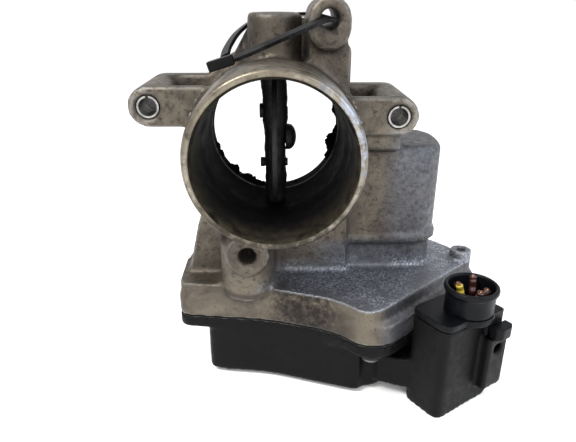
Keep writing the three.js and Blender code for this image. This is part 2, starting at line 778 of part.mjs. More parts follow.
const springRadius = hubRadius + springClearance + springWire;
const springBottom = sectorTop + 1.2 + springWire;
const springTop = ceiling - 0.8 - springWire;
class SpringCurve extends THREE.Curve {
  getPoint(t, target = new THREE.Vector3()) {
    const a = t * springTurns * 2 * Math.PI;
    return target.set(
      springRadius * Math.cos(a),
      springRadius * Math.sin(a),
      springBottom + (springTop - springBottom) * t,
    );
  }
}
const wireSection = new THREE.Shape().absarc(0, 0, springWire, 0, 2 * Math.PI, false);
const springOptions = {
  steps: Math.round(springTurns * 20),
  bevelEnabled: false,
  curveSegments: 3,
  extrudePath: new SpringCurve(),
};
add("return_spring", solid(new THREE.ExtrudeGeometry(wireSection, springOptions)), steel);

// ---------------------------------------------------------------- motor
const motorBottom = ceiling + gap;
const canInner = -motorCanWall;
const can = cut(
  upright(canOutline(0), motorBottom, canTop, 14),
  upright(canOutline(canInner), motorBottom - 1, canTop - motorCanWall, 14),
  rodZ(motor.x, motor.y, motorShaftRadius + gap, canTop - 3, canTop + 1),
);
add("motor_can", can, steel);

const endCap = cut(
  upright(canOutline(canInner - gap), motorBottom, motorBottom + endCapHeight, 14),
  rodZ(motor.x, motor.y, motorShaftRadius + gap, motorBottom - 1, motorBottom + endCapHeight + 1),
);
add("motor_end_cap", endCap, blackPlastic);

const armatureRadius = motorFlat - motorCanWall - 1.2;
const magnetInner = armatureRadius + 0.6;
const magnetOuter = motorRadius - motorCanWall - gap;
for (const [i, middle] of [0, Math.PI].entries()) {
  const half = Math.asin((motorFlat - motorCanWall - gap) / magnetOuter);
  const arc = new THREE.Shape();
  arc.absarc(motor.x, motor.y, magnetOuter, middle - half, middle + half, false);
  arc.absarc(motor.x, motor.y, magnetInner, middle + half, middle - half, true);
  arc.closePath();
  add(`motor_magnet_${i + 1}`, upright(arc, ceiling + 17, canTop - 5, 8), ferrite);
}

const brushBottom = motorBottom + endCapHeight + gap;
for (const [i, side] of [1, -1].entries()) {
  const near = motor.x + side * (commutatorRadius + gap);
  const far = near + side * brushSize;
  const [left, right] = side > 0 ? [near, far] : [far, near];
  const brushTop = brushBottom + brushSize;
  const brush = block(left, right, motor.y - 1.6, motor.y + 1.6, brushBottom, brushTop);
  add(`motor_brush_${i + 1}`, brush, carbon);
}

const plateTop = ceiling - gap;
const mountBottom = plateTop - mountPlate;
const mountShape = roundedOutline(motorScrews.flatMap((p, i) => {
  const out = i === 0 ? 1 : -1;
  return [[p.x + out * 3.6, p.y - out * 4.2, 3.4], [p.x + out * 3.6, p.y + out * 4.2, 3.4]];
}));
const mount = cut(
  joined(
    upright(mountShape, mountBottom, plateTop),
    rodZ(motor.x, motor.y, motorFlat + 0.5, mountBottom, plateTop, 28),
  ),
  rodZ(motor.x, motor.y, motorShaftRadius + 2.9, mountBottom - 1, plateTop + 1),
  ...motorScrews.map((p) => rodZ(p.x, p.y, motorScrewRadius + gap, mountBottom - 1, plateTop + 1)),
);
add("motor_mount_plate", mount, steel);
motorScrews.forEach((p, i) => {
  const headTop = mountBottom - gap;
  const screw = joined(
    rodZ(p.x, p.y, motorScrewRadius, headTop - 1, ceiling + 1.3, 12),
    rodZ(p.x, p.y, motorScrewHead, headTop - 2.2, headTop, 16),
  );
  add(`motor_screw_${i + 1}`, screw, zinc);
});

const rotor = new THREE.Group();
rotor.position.set(motor.x, motor.y, 0);
assembly.add(rotor);
const pinionTop = wheelTop + 1;
const pinionBottom = wheelBottom - 1;
add("motor_shaft", rodZ(0, 0, motorShaftRadius, pinionBottom + 1, canTop - 0.4), steel, rotor);
const armatureShape = new THREE.Shape();
const poleHalf = Math.PI / armaturePoles - 0.16;
const polePoints = [
  [4.6, -Math.PI / armaturePoles],
  [armatureRadius, -poleHalf],
  [armatureRadius, -poleHalf / 3],
  [armatureRadius, poleHalf / 3],
  [armatureRadius, poleHalf],
];
for (let i = 0; i < armaturePoles; i++) {
  const a = (i * 2 * Math.PI) / armaturePoles;
  polePoints.forEach(([r, da], k) => {
    const x = r * Math.cos(a + da);
    const y = r * Math.sin(a + da);
    if (i === 0 && k === 0) armatureShape.moveTo(x, y);
    else armatureShape.lineTo(x, y);
  });
}
armatureShape.closePath();
const shaftClear = rodZ(0, 0, motorShaftRadius + gap, ceiling, canTop, smallSteps);
const armatureBottom = ceiling + 18;
add("armature", cut(upright(armatureShape, armatureBottom, canTop - 6), shaftClear), copper, rotor);
const commutator = rodZ(0, 0, commutatorRadius, brushBottom - 0.1, armatureBottom - 1, 18);
add("commutator", cut(commutator, shaftClear), copper, rotor);
const motorPhase = toRadians(motorAngle + 180 + 180 / motorPinionTeeth);
const motorPinion = cut(
  upright(gearOutline(motorPinionTeeth, wheelModule, motorPhase), pinionBottom, pinionTop),
  rodZ(0, 0, motorShaftRadius + gap, pinionBottom - 1, pinionTop + 1, 12),
);
add("motor_pinion", motorPinion, brass, rotor);

// ---------------------------------------------------------------- connector frame
const plugX = cornerX + plugReach;
const plugY = cornerY + plugSetback;
const plugMatrix = new THREE.Matrix4()
  .makeTranslation(plugX, plugY, 0)
  .multiply(new THREE.Matrix4().makeRotationZ(toRadians(plugYaw)));
const atPlug = (body) => solid(geometryOf(body).applyMatrix4(plugMatrix));
const shroudRim = panTop - shroudDrop;
const contactFloor = shroudRim - shroudDepth;
const latchX = shroudLength / 2 - 5.3; // middle of the latch along the long side

// ---------------------------------------------------------------- gear cover with the socket
const coverTop = parting - gap;
const lipBottom = coverTop - coverLip;
const coverOutline = panOutline.map(([x, y, radius], i) => {
  if (i === 0) return [panLeft + 12, y - 0.8, 7];
  if (i === 4) return [cornerX - 10, cornerY + 7, 6];
  if (i === 5) return [cornerX - 2.5, cornerY + 10, 5];
  if (i === 6) return [panRight - 18, -4, 5];
  if (i === 7) return [panRight - 17, 8.5, 6];
  if (i === 11) return [panLeft + 12, 12, 9];
  return [x, y, radius];
});

function socketBlock() {
  const outer = roundedOutline(rectangle(0, 0, shroudLength, shroudWidth, 4));
  const latchHouse = roundedOutline(rectangle(latchX, -shroudWidth / 2 - 1.6, latchHouseWidth, 6, 0.8));
  return joined(
    upright(outer, coverBottom, shroudRim),
    upright(latchHouse, coverBottom + 8, shroudRim - latchHouseDrop),
  );
}

function socketHollows() {
  const long = shroudLength - 2 * shroudWall;
  const wide = shroudWidth - 2 * shroudWall;
  const inner = roundedOutline(rectangle(0, 0, long, wide, 3));
  const below = roundedOutline(rectangle(0, 0, long - 1.8, wide - 1.8, 2));
  const front = -shroudWidth / 2;
  const slotHalfWidth = latchWidth / 2;
  return joined(
    upright(inner, contactFloor, shroudRim + 1),
    upright(below, coverBottom - 1, contactFloor - 4),
    block(latchX - slotHalfWidth, latchX + slotHalfWidth, front - 2.9, 0, contactFloor + 9, shroudRim + 1),
    block(latchX - 2.2, latchX + 2.2, front - 6, front, shroudRim - 15, shroudRim - 11),
  );
}

const pinPlaces = Array.from({ length: pinCount }, (_, i) => (i - (pinCount - 1) / 2) * pinPitch);
const pinSlot = contactHalf + gap;
const pinHoles = joined(
  ...pinPlaces.map((x) => block(x - pinSlot, x + pinSlot, -0.7, 0.7, contactFloor - 5, contactFloor + 1)),
);
const armOutline = [
  [cornerX - 6, cornerY + 10, 2],
  [plugX - 15, plugY - 4.5, 2],
  [plugX - 2, plugY + 8, 2],
  [idler.x + 27, cornerY + 32, 2],
];
const coverHollow = joined(
  upright(roundedOutline(inset(coverOutline, coverWall)), coverFloor, coverTop + 1),
  upright(roundedOutline(inset(panOutline, panWall)), lipBottom + 1.8, coverTop + 1),
);
const atScrews = (radius, bottom, top, steps) =>
  coverScrews.map((p) => rodZ(p.x, p.y, radius, bottom, top, steps));
const screwHoles = atScrews(screwRadius + gap, coverBottom - 1, coverTop + 1);
const headPockets = atScrews(coverScrewHead + 2 * gap, coverBottom - 1, lipBottom - gap, 18);
const edgeTop = coverBottom + coverUnderside * 0.6;
const edgeMiddle = coverBottom + coverUnderside * 0.25;
const coverBody = upright(roundedOutline(coverOutline), edgeTop, lipBottom + 1);
const pocketWalls = atScrews(coverScrewHead + 2, coverBottom, coverTop, 20);
const lugs = atScrews(coverLug, lipBottom - 2, coverTop, 20);
const grooveOuter = inset(panOutline, gasketInset);
const grooveInner = inset(panOutline, panWall - 0.5);
const gasketSeat = coverTop - gasketDepth;
const gasketRing = cut(
  upright(roundedOutline(grooveOuter), gasketSeat, coverTop + 1),
  upright(roundedOutline(grooveInner), gasketSeat - 1, coverTop + 2),
);
const cover = cut(
  joined(
    cut(
      joined(
        coverBody,
        upright(roundedOutline(inset(coverOutline, coverUnderside * 0.35)), edgeMiddle, coverTop - 2),
        upright(roundedOutline(inset(coverOutline, coverUnderside)), coverBottom, coverTop - 3),
        upright(roundedOutline(panOutline), lipBottom, coverTop),
        upright(roundedOutline(armOutline), coverBottom + armRise, lipBottom - 4),
      ),
      coverHollow,
    ),
    cut(joined(...lugs, ...pocketWalls.map((wall) => wall.intersect(coverBody))), gasketRing),
    atPlug(socketBlock()),
    rodZ(idler.x, idler.y, idlerPinRadius + 2.2, coverFloor - 1, coverFloor + 5, 18),
  ),
  gasketRing,
  atPlug(socketHollows()),
  atPlug(pinHoles),
  ...screwHoles,
  ...headPockets,
  rodZ(idler.x, idler.y, idlerPinRadius + gap, coverFloor + 1.4, coverFloor + 6),
);
add("gear_cover", cover, blackPlastic);

const gasket = cut(
  upright(roundedOutline(inset(panOutline, gasketInset + gap)), gasketSeat + gap, coverTop - 0.1, 4),
  upright(roundedOutline(inset(panOutline, panWall - 0.5 - gap)), gasketSeat - 1, coverTop + 2, 4),
);
add("cover_gasket", gasket, rubber);

coverScrews.forEach((p, i) => {
  const headTop = lipBottom - 2 * gap;
  const screw = joined(
    rodZ(p.x, p.y, screwRadius, headTop - 1, parting + 10, 12),
    rodZ(p.x, p.y, coverScrewHead, headTop - 3.2, headTop, 16),
  );
  add(`cover_screw_${i + 1}`, cut(screw, rodZ(p.x, p.y, 1.6, headTop - 4, headTop - 1.6, 6)), zinc);
});

const boardBottom = coverFloor + 1;
const boardTop = boardBottom + boardThickness;
const board = block(-boardHalfX, boardHalfX, -boardHalfY, boardHalfY, boardBottom, boardTop);
add("sensor_board", board, boardGreen);

const connector = new THREE.Group();
connector.applyMatrix4(plugMatrix);
assembly.add(connector);
pinPlaces.forEach((x, i) => {
  const pinBottom = contactFloor - 3.5;
  const pin = block(x - contactHalf, x + contactHalf, -0.4, 0.4, pinBottom, contactFloor + pinReach);
  add(`connector_pin_${i + 1}`, pin, brass, connector);
});

// ---------------------------------------------------------------- harness plug
const plugInner = contactFloor + 2;
const plugSkirt = shroudWall + 0.4;
const deck = shroudRim + gap;
const deckTop = deck + 2.6;
const wireSeat = deckTop - 2.2;
const collarX = 2;
const collarY = -3.8;
const collarBottom = deckTop + gap;
const collarTop = collarBottom + collarHeight;
const sealBottom = shroudRim - 11;
const sealTop = sealBottom + plugSealHeight;
const latchFront = -shroudWidth / 2;
const plugCorners = rectangle(0, 0, shroudLength - 2 * plugSkirt, shroudWidth - 2 * plugSkirt, 2.6);
const wireStep = 360 / pinCount;
const wirePlaces = Array.from({ length: pinCount }, (_, i) =>
  polar(collarX, collarY, wireRing, 100 + wireStep * i),
);
const sealGroove = cut(
  upright(roundedOutline(inset(plugCorners, -1)), sealBottom - gap, sealTop + gap),
  upright(roundedOutline(inset(plugCorners, 1.5)), sealBottom - 1, sealTop + 1),
);
const contactTop = contactFloor + pinReach + 1;
const plug = cut(
  joined(
    upright(roundedOutline(plugCorners), plugInner, deckTop),
    upright(roundedOutline(rectangle(-0.6, 0, shroudLength - 1.6, shroudWidth + 0.8, 4.4)), deck, deckTop),
    rodZ(collarX, collarY, collarRadius - 0.6, deck, deckTop, roundSteps),
    block(latchX - 3.4, latchX + 3.4, latchFront - 1.6, latchFront + 1.2, deck, deckTop),
    block(latchX - 3.2, latchX + 3.2, latchFront - 2.4, latchFront - 1, shroudRim - 9.4, deckTop),
    block(shroudLength / 2 - 3.2, shroudLength / 2 - 1.4, -5.5, 6.5, deckTop - 1, deckTop + 6),
  ),
  sealGroove,
  ...pinPlaces.map((x) => block(x - 1.1, x + 1.1, -0.8, 0.8, plugInner - 1, contactTop)),
  ...wirePlaces.map((p) => rodZ(p.x, p.y, wireRadius + gap, wireSeat, deckTop + 1, 10)),
);
add("plug_housing", plug, blackPlastic, connector);

const seal = cut(
  upright(roundedOutline(plugCorners), sealBottom, sealTop),
  upright(roundedOutline(inset(plugCorners, 1.5 - gap)), sealBottom - 1, sealTop + 1),
);
add("plug_seal", seal, rubber, connector);

const collar = turnedZ(
  [
    [collarRadius - collarWall - 1, collarBottom],
    [collarRadius - 1.1, collarBottom],
    [collarRadius - 0.5, collarTop - 3],
    [collarRadius, collarTop - 2.2],
    [collarRadius, collarTop - 0.6],
    [collarRadius - 0.6, collarTop],
    [collarRadius - collarWall, collarTop],
    [collarRadius - collarWall - 0.4, collarTop - 1],
  ],
  28,
  collarX,
  collarY,
);
add("wire_collar", collar, blackPlastic, connector);

const lockLeft = latchX - lockHalf;
const lockRight = latchX + lockHalf;
const lockBottom = shroudRim - latchHouseDrop + gap;
const lockTop = lockBottom + lockHeight;
const lockFront = latchFront - lockReach;
const lockBack = latchFront - 2.4 - gap;
const lockShape = roundedOutline([
  [lockLeft, lockFront + 1.4, 0.5],
  [lockLeft + 2, lockFront, 0.8],
  [lockRight - 2, lockFront, 0.8],
  [lockRight, lockFront + 1.4, 0.5],
  [lockRight, lockBack, 0.4],
  [lockLeft, lockBack, 0.4],
]);
const lock = upright(lockShape, lockBottom, lockTop);
add("plug_lock", lock, blackPlastic, connector);

wirePlaces.forEach((p, i) => {
  const top = collarTop - 1.5 + ((i * 2) % 3);
  const look = i === 1 ? paint(0xb9a326, 0.5, 0) : paint(0x3a1414, 0.5, 0);
  add(`plug_wire_${i + 1}`, rodZ(p.x, p.y, wireRadius, wireSeat + gap, top, 10), look, connector);
});

// ---------------------------------------------------------------- cable tie
const strapPoints = [
  [-13.8, earFrontY - 1.7, barrelRadius + 0.3],
  [-7, earFrontY - 1.8, barrelRadius + 2.9],
  [8, earFrontY - 1.9, barrelRadius + 9.2],
  [topLugX - 3, earFrontY - 1.6, topLugZ - 0.4],
  [topLugX, earFrontY + 2, topLugZ],
  [topLugX, 2, topLugZ],
  [topLugX - 0.2, flangeY - 4, topLugZ],
  [topLugX - 1.5, flangeY + 2.6, topLugZ],
  [topLugX - 8, flangeY + 2.8, topLugZ + 0.2],
  [2, flangeY - 2.5, topLugZ - 0.3],
  [-7, 12.5, topLugZ - 1.4],
  [-13.6, 4.5, topLugZ - 5.4],
  [-17, -5, topLugZ - 10],
  [-17.6, -12.5, topLugZ - 12.6],
].map(([x, y, z]) => new THREE.Vector3(x, y, z));
const strapSection = new THREE.Shape();
strapSection.moveTo(-strapThickness / 2, -strapWidth / 2);
strapSection.lineTo(strapThickness / 2, -strapWidth / 2);
strapSection.lineTo(strapThickness / 2, strapWidth / 2);
strapSection.lineTo(-strapThickness / 2, strapWidth / 2);
strapSection.closePath();
const strapPath = new THREE.CatmullRomCurve3(strapPoints);
const strapOptions = { steps: 56, bevelEnabled: false, extrudePath: strapPath };
add("cable_tie_strap", solid(new THREE.ExtrudeGeometry(strapSection, strapOptions)), blackPlastic);
const headBox = new THREE.BoxGeometry(9.4, 4.6, 3.6);
headBox.rotateY(-0.3).translate(-18.7, earFrontY - 0.6, barrelRadius - 1.4);
add("cable_tie_head", solid(headBox), blackPlastic);

// The part stands on the cover, with the middle of its box over the origin.
const size = new THREE.Box3().setFromObject(assembly, true);
assembly.position.set(-(size.min.x + size.max.x) / 2, -(size.min.y + size.max.y) / 2, -size.min.z);

export default assembly;
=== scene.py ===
import json
import math

import bmesh
import bpy
from mathutils import Matrix, Vector, noise


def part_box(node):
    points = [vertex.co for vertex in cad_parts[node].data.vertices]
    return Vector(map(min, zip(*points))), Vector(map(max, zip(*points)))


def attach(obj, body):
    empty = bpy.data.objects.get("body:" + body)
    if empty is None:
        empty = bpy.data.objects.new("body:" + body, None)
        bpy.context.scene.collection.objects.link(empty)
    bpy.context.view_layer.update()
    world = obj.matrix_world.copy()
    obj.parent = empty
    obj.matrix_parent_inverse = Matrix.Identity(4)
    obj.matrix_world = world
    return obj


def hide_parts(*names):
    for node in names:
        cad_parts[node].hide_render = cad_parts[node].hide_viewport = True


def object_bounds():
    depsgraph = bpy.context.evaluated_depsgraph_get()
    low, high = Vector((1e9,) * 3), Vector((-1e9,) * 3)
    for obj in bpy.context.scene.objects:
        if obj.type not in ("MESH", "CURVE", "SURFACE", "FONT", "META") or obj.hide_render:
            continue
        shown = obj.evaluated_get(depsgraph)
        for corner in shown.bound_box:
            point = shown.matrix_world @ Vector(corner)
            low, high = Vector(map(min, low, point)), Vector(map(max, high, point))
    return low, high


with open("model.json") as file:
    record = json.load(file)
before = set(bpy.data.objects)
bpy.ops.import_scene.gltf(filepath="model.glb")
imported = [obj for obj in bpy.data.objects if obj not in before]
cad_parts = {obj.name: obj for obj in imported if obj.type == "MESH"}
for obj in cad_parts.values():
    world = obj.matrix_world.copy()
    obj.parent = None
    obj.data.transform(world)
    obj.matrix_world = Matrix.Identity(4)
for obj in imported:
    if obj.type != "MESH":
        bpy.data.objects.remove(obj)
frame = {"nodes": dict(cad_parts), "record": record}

cadLow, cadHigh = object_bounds()
mm = 0.001

# The shaft and the plate cross at the middle of the bore.
# Every place below is given from there, in millimetres.
shaftLow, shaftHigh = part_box("throttle_shaft")
plateLow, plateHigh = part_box("throttle_plate")
boreMiddle = Vector((
    (shaftLow.x + shaftHigh.x) / 2,
    (shaftLow.y + shaftHigh.y) / 2,
    (plateLow.z + plateHigh.z) / 2,
))


def at(x, y, z):
    return boreMiddle + Vector((x, y, z)) * mm


studio = {
    "cameraPlace": (1.5, -214.7, 52.7),  # from the middle of the bore
    "cameraYaw": 1.0,  # degrees to the right
    "cameraDip": 22.7,
    "lens": 33.75,
    "worldColor": (1.0, 1.0, 1.0),
    "worldStrength": 1.02,
    "floorColor": (0.99, 0.99, 0.99),
    "floorSize": 60.0,
    # name: place, size, power, colour
    "lights": {
        "key": ((-360, -300, 620), 0.3, 7.0, (1.0, 0.98, 0.95)),
        "fill": ((560, -260, 330), 0.5, 3.0, (0.86, 0.92, 1.0)),
        "front": ((60, -620, 120), 0.6, 1.5, (1.0, 1.0, 1.0)),
    },
}


def makeCamera():
    data = bpy.data.cameras.new("camera")
    data.lens = studio["lens"]
    data.sensor_width = 36
    data.clip_start = 0.01
    camera = bpy.data.objects.new("camera", data)
    bpy.context.scene.collection.objects.link(camera)
    camera.location = at(*studio["cameraPlace"])
    dip = math.radians(90 - studio["cameraDip"])
    camera.rotation_euler = (dip, 0, math.radians(-studio["cameraYaw"]))
    bpy.context.scene.camera = camera


def makeLight(name, place, size, power, color):
    data = bpy.data.lights.new(name, "AREA")
    data.shape = "DISK"
    data.size = size
    data.energy = power
    data.color = color
    light = bpy.data.objects.new(name, data)
    bpy.context.scene.collection.objects.link(light)
    light.location = at(*place)
    light.rotation_euler = (at(0, 0, -30) - light.location).to_track_quat("-Z", "Y").to_euler()


def makeFloor():
    work = bmesh.new()
    bmesh.ops.create_circle(work, cap_ends=True, segments=64, radius=studio["floorSize"])
    bmesh.ops.translate(work, verts=work.verts, vec=(0, 0, cadLow.z - 0.0002))
    mesh = bpy.data.meshes.new("floor")
    work.to_mesh(mesh)
    work.free()
    floor = bpy.data.objects.new("floor", mesh)
    bpy.context.scene.collection.objects.link(floor)
    material = bpy.data.materials.new("paleFloor")
    material.use_nodes = True
    shader = material.node_tree.nodes["Principled BSDF"]
    shader.inputs["Base Color"].default_value = (*studio["floorColor"], 1)
    shader.inputs["Roughness"].default_value = 0.9
    mesh.materials.append(material)


def makeStudio():
    makeCamera()
    world = bpy.data.worlds.new("studio")
    bpy.context.scene.world = world
    world.use_nodes = True
    background = world.node_tree.nodes["Background"]
    background.inputs["Color"].default_value = (*studio["worldColor"], 1)
    background.inputs["Strength"].default_value = studio["worldStrength"]
    for name, (place, size, power, color) in studio["lights"].items():
        makeLight(name, place, size, power, color)
    bpy.context.scene.view_settings.view_transform = "Standard"
    makeFloor()


makeStudio()
print("studio ready")


def startMaterial(name, roughness=0.5, metallic=0.0):
    material = bpy.data.materials.new(name)
    material.use_nodes = True
    tree = material.node_tree
    shader = tree.nodes["Principled BSDF"]
    shader.inputs["Roughness"].default_value = roughness
    shader.inputs["Metallic"].default_value = metallic
    coords = tree.nodes.new("ShaderNodeTexCoord")
    return material, tree, shader, coords.outputs["Object"]


def speckle(tree, place, scale, detail, roughness, stretch=None, distortion=0.0):
    if stretch:
        mapping = tree.nodes.new("ShaderNodeMapping")
        mapping.inputs["Scale"].default_value = stretch
        tree.links.new(place, mapping.inputs["Vector"])
        place = mapping.outputs["Vector"]
    texture = tree.nodes.new("ShaderNodeTexNoise")
    texture.inputs["Scale"].default_value = scale
    texture.inputs["Detail"].default_value = detail
    texture.inputs["Roughness"].default_value = roughness
    texture.inputs["Distortion"].default_value = distortion
    tree.links.new(place, texture.inputs["Vector"])
    return texture.outputs["Fac"]


def levels(tree, value, low, high, outLow=0.0, outHigh=1.0):
    node = tree.nodes.new("ShaderNodeMapRange")
    node.inputs["From Min"].default_value = low
    node.inputs["From Max"].default_value = high
    node.inputs["To Min"].default_value = outLow
    node.inputs["To Max"].default_value = outHigh
    tree.links.new(value, node.inputs["Value"])
    return node.outputs["Result"]


def combine(tree, first, second, how="MULTIPLY"):
    node = tree.nodes.new("ShaderNodeMath")
    node.operation = how
    node.use_clamp = True
    for socket, value in zip(node.inputs, (first, second)):
        if isinstance(value, (int, float)):
            socket.default_value = value
        else:
            tree.links.new(value, socket)
    return node.outputs["Value"]


def mixColors(tree, amount, first, second):
    node = tree.nodes.new("ShaderNodeMix")
    node.data_type = "RGBA"
    sockets = (node.inputs[0], node.inputs[6], node.inputs[7])
    for socket, value in zip(sockets, (amount, first, second)):
        if isinstance(value, (int, float)):
            socket.default_value = value
        elif isinstance(value, tuple):
            socket.default_value = (*value, 1)
        else:
            tree.links.new(value, socket)
    return node.outputs[2]


def axisValue(tree, place, axis):
    node = tree.nodes.new("ShaderNodeSeparateXYZ")
    tree.links.new(place, node.inputs["Vector"])
    return node.outputs[axis]


def fade(tree, value, axis, start, end):
    # from 0 at start to 1 at end, both in millimetres from the middle of the bore
    return levels(tree, value, at(start, start, start)[axis], at(end, end, end)[axis])


def addBump(tree, shader, height, depth, strength, below=None):
    node = tree.nodes.new("ShaderNodeBump")
    node.inputs["Distance"].default_value = depth
    node.inputs["Strength"].default_value = strength
    tree.links.new(height, node.inputs["Height"])
    if below is not None:
        tree.links.new(below, node.inputs["Normal"])
    tree.links.new(node.outputs["Normal"], shader.inputs["Normal"])
    return node.outputs["Normal"]


# Ambient occlusion, used to paint shade into crevices and hollows.
def creviceShade(tree, distance=0.006):
    node = tree.nodes.new("ShaderNodeAmbientOcclusion")
    node.samples = 6
    node.inputs["Distance"].default_value = distance
    return node.outputs["AO"]


# Pointiness of sharp edges, for painted edge highlights that are partly real wear.
def edgeSheenAndWear(tree, low, high):
    node = tree.nodes.new("ShaderNodeNewGeometry")
    return levels(tree, node.outputs["Pointiness"], low, high)


castLook = {
    "brown": (0.058, 0.049, 0.041),
    "brownDark": (0.015, 0.013, 0.012),
    "tan": (0.122, 0.105, 0.082),
    "blue": (0.112, 0.115, 0.128),
    "blueDark": (0.050, 0.051, 0.058),
    # colour of the painted edge highlight, which is partly real wear
    "bright": (0.60, 0.60, 0.59),
    "frost": (0.46, 0.49, 0.56),
    "lid": (0.20, 0.21, 0.245),
    "specular": 0.25,
    "pitDepth": 0.00035,
    "gritDepth": 0.00012,
    # where each fade starts and ends
    "motorX": (43, 51),
    "motorZ": (6, 1),
    "footX": (12, 24),
    "footZ": (-41, -45),
    "panX": (-10, 14),
    "panZ": (-50, -57),
    "skirtZ": (-56.8, -58.2),
    "skirtX": (44, 38),
    "stainLeft": (-6, 2),
    "stainRight": (27, 19),
    "lidZ": (-57.9, -57.3),
}


def castAluminium(name, edgeShine):
    material, tree, shader, place = startMaterial(name, 0.5, 0.75)
    shader.inputs["Specular IOR Level"].default_value = castLook["specular"]
    x = axisValue(tree, place, 0)
    z = axisValue(tree, place, 2)
    clouds = speckle(tree, place, 55, 5, 0.6, distortion=0.6)
    blotches = speckle(tree, place, 420, 6, 0.72)
    pits = speckle(tree, place, 1100, 4, 0.7)
    grit = speckle(tree, place, 2600, 2, 0.6)

    def box(first, second):
        # 1 where both fades are 1, the first along X and the second along Z
        return combine(tree, fade(tree, x, 0, *castLook[first]), fade(tree, z, 2, *castLook[second]))

    brown = mixColors(tree, levels(tree, clouds, 0.38, 0.66), castLook["brown"], castLook["tan"])
    brown = mixColors(tree, levels(tree, blotches, 0.52, 0.72), brown, castLook["brownDark"])
    blue = levels(tree, blotches, 0.38, 0.68)
    blue = mixColors(tree, blue, castLook["blue"], castLook["blueDark"])
    # The motor's side has been washed to a bluish silver, the valve's side is still brown.
    side = combine(tree, box("motorX", "motorZ"), box("footX", "footZ"), "MAXIMUM")
    panSide = box("panX", "panZ")
    side = combine(tree, side, panSide, "MAXIMUM")
    side = combine(tree, side, levels(tree, clouds, 0.3, 0.6, 0.55, 1.0))
    color = mixColors(tree, side, brown, blue)
    # Warm front of the pan's wall.
    skirt = box("skirtX", "skirtZ")
    warm = mixColors(tree, levels(tree, clouds, 0.4, 0.62), castLook["tan"], castLook["brown"])
    color = mixColors(tree, skirt, color, warm)
    # A brown stain runs down the middle of that wall.
    stainLeft = fade(tree, x, 0, *castLook["stainLeft"])
    stain = combine(tree, stainLeft, fade(tree, x, 0, *castLook["stainRight"]))
    stain = combine(tree, combine(tree, stain, skirt), levels(tree, blotches, 0.36, 0.56))
    color = mixColors(tree, combine(tree, stain, 0.85), color, castLook["brownDark"])
    # The top of the pan is frosted with fine white splashes.
    lid = combine(tree, fade(tree, z, 2, *castLook["lidZ"]), panSide)
    color = mixColors(tree, combine(tree, lid, 0.55), color, castLook["lid"])
    splash = combine(tree, lid, levels(tree, clouds, 0.40, 0.55))
    splash = combine(tree, levels(tree, pits, 0.49, 0.60), splash)
    color = mixColors(tree, combine(tree, splash, 0.85), color, castLook["frost"])
    holes = levels(tree, pits, 0.40, 0.33)
    color = mixColors(tree, combine(tree, holes, 0.8), color, castLook["brownDark"])
    # Painted shade: darker brown in crevices and hollows from ambient occlusion, broken up by blotches
    # of dirt.
    shadeAndDirt = levels(tree, creviceShade(tree), 0.92, 0.45)
    shadeAndDirt = combine(tree, shadeAndDirt, levels(tree, blotches, 0.3, 0.62))
    color = mixColors(tree, combine(tree, shadeAndDirt, 0.85), color, castLook["brownDark"])
    # Painted highlight, partly real wear: sharp edges are lightened towards bright metal, in blotches.
    sheenAndWear = combine(tree, edgeSheenAndWear(tree, 0.525, 0.6), levels(tree, blotches, 0.38, 0.6))
    color = mixColors(tree, combine(tree, sheenAndWear, edgeShine), color, castLook["bright"])
    tree.links.new(color, shader.inputs["Base Color"])
    tree.links.new(levels(tree, blotches, 0.3, 0.75, 0.34, 0.62), shader.inputs["Roughness"])
    tree.links.new(levels(tree, shadeAndDirt, 0.0, 1.0, 0.8, 0.25), shader.inputs["Metallic"])
    rough = addBump(tree, shader, pits, castLook["pitDepth"], 0.6)
    addBump(tree, shader, grit, castLook["gritDepth"], 0.5, rough)
    return material


turnedLook = {
    "metal": (0.20, 0.175, 0.135),
    "shade": (0.085, 0.072, 0.055),
    "line": (0.33, 0.30, 0.25),
    "stain": (0.035, 0.030, 0.025),
    "lowerDark": (0.030, 0.027, 0.020),
    "rubbed": (0.29, 0.31, 0.36),
    "lineDepth": 0.00012,
    "stainDepth": 0.0001,
    # where each fade starts and ends
    "lowerDarkZ": (-6, -24),
    "rubbedX": (12, 26),
    "rubbedZ": (-8, 4),
}


def turnedAluminium():
    material, tree, shader, place = startMaterial("turnedAluminium", 0.35, 0.9)
    x = axisValue(tree, place, 0)
    clouds = speckle(tree, place, 70, 5, 0.62, distortion=0.8)
    blotches = speckle(tree, place, 260, 5, 0.65)
    lines = speckle(tree, place, 60, 3, 0.7, stretch=(1, 90, 1))
    warm = levels(tree, clouds, 0.36, 0.66)
    warm = mixColors(tree, warm, turnedLook["metal"], turnedLook["shade"])
    color = mixColors(tree, levels(tree, lines, 0.48, 0.72), warm, turnedLook["line"])
    stain = levels(tree, blotches, 0.50, 0.66, 0.0, 0.8)
    color = mixColors(tree, stain, color, turnedLook["stain"])
    # The lower half is darker towards the bottom, and the right shoulder is rubbed bright.
    z = axisValue(tree, place, 2)
    lowerDark = fade(tree, z, 2, *turnedLook["lowerDarkZ"])
    lowerDark = combine(tree, lowerDark, levels(tree, blotches, 0.25, 0.5))
    color = mixColors(tree, combine(tree, lowerDark, 0.9), color, turnedLook["lowerDark"])
    scuffs = fade(tree, x, 0, *turnedLook["rubbedX"])
    scuffs = combine(tree, scuffs, levels(tree, blotches, 0.44, 0.56))
    scuffs = combine(tree, scuffs, fade(tree, z, 2, *turnedLook["rubbedZ"]))
    color = mixColors(tree, scuffs, color, turnedLook["rubbed"])
    tree.links.new(color, shader.inputs["Base Color"])
    tree.links.new(levels(tree, clouds, 0.3, 0.7, 0.24, 0.5), shader.inputs["Roughness"])
    fine = addBump(tree, shader, lines, turnedLook["lineDepth"], 0.5)
    addBump(tree, shader, blotches, turnedLook["stainDepth"], 0.4, fine)
    return material


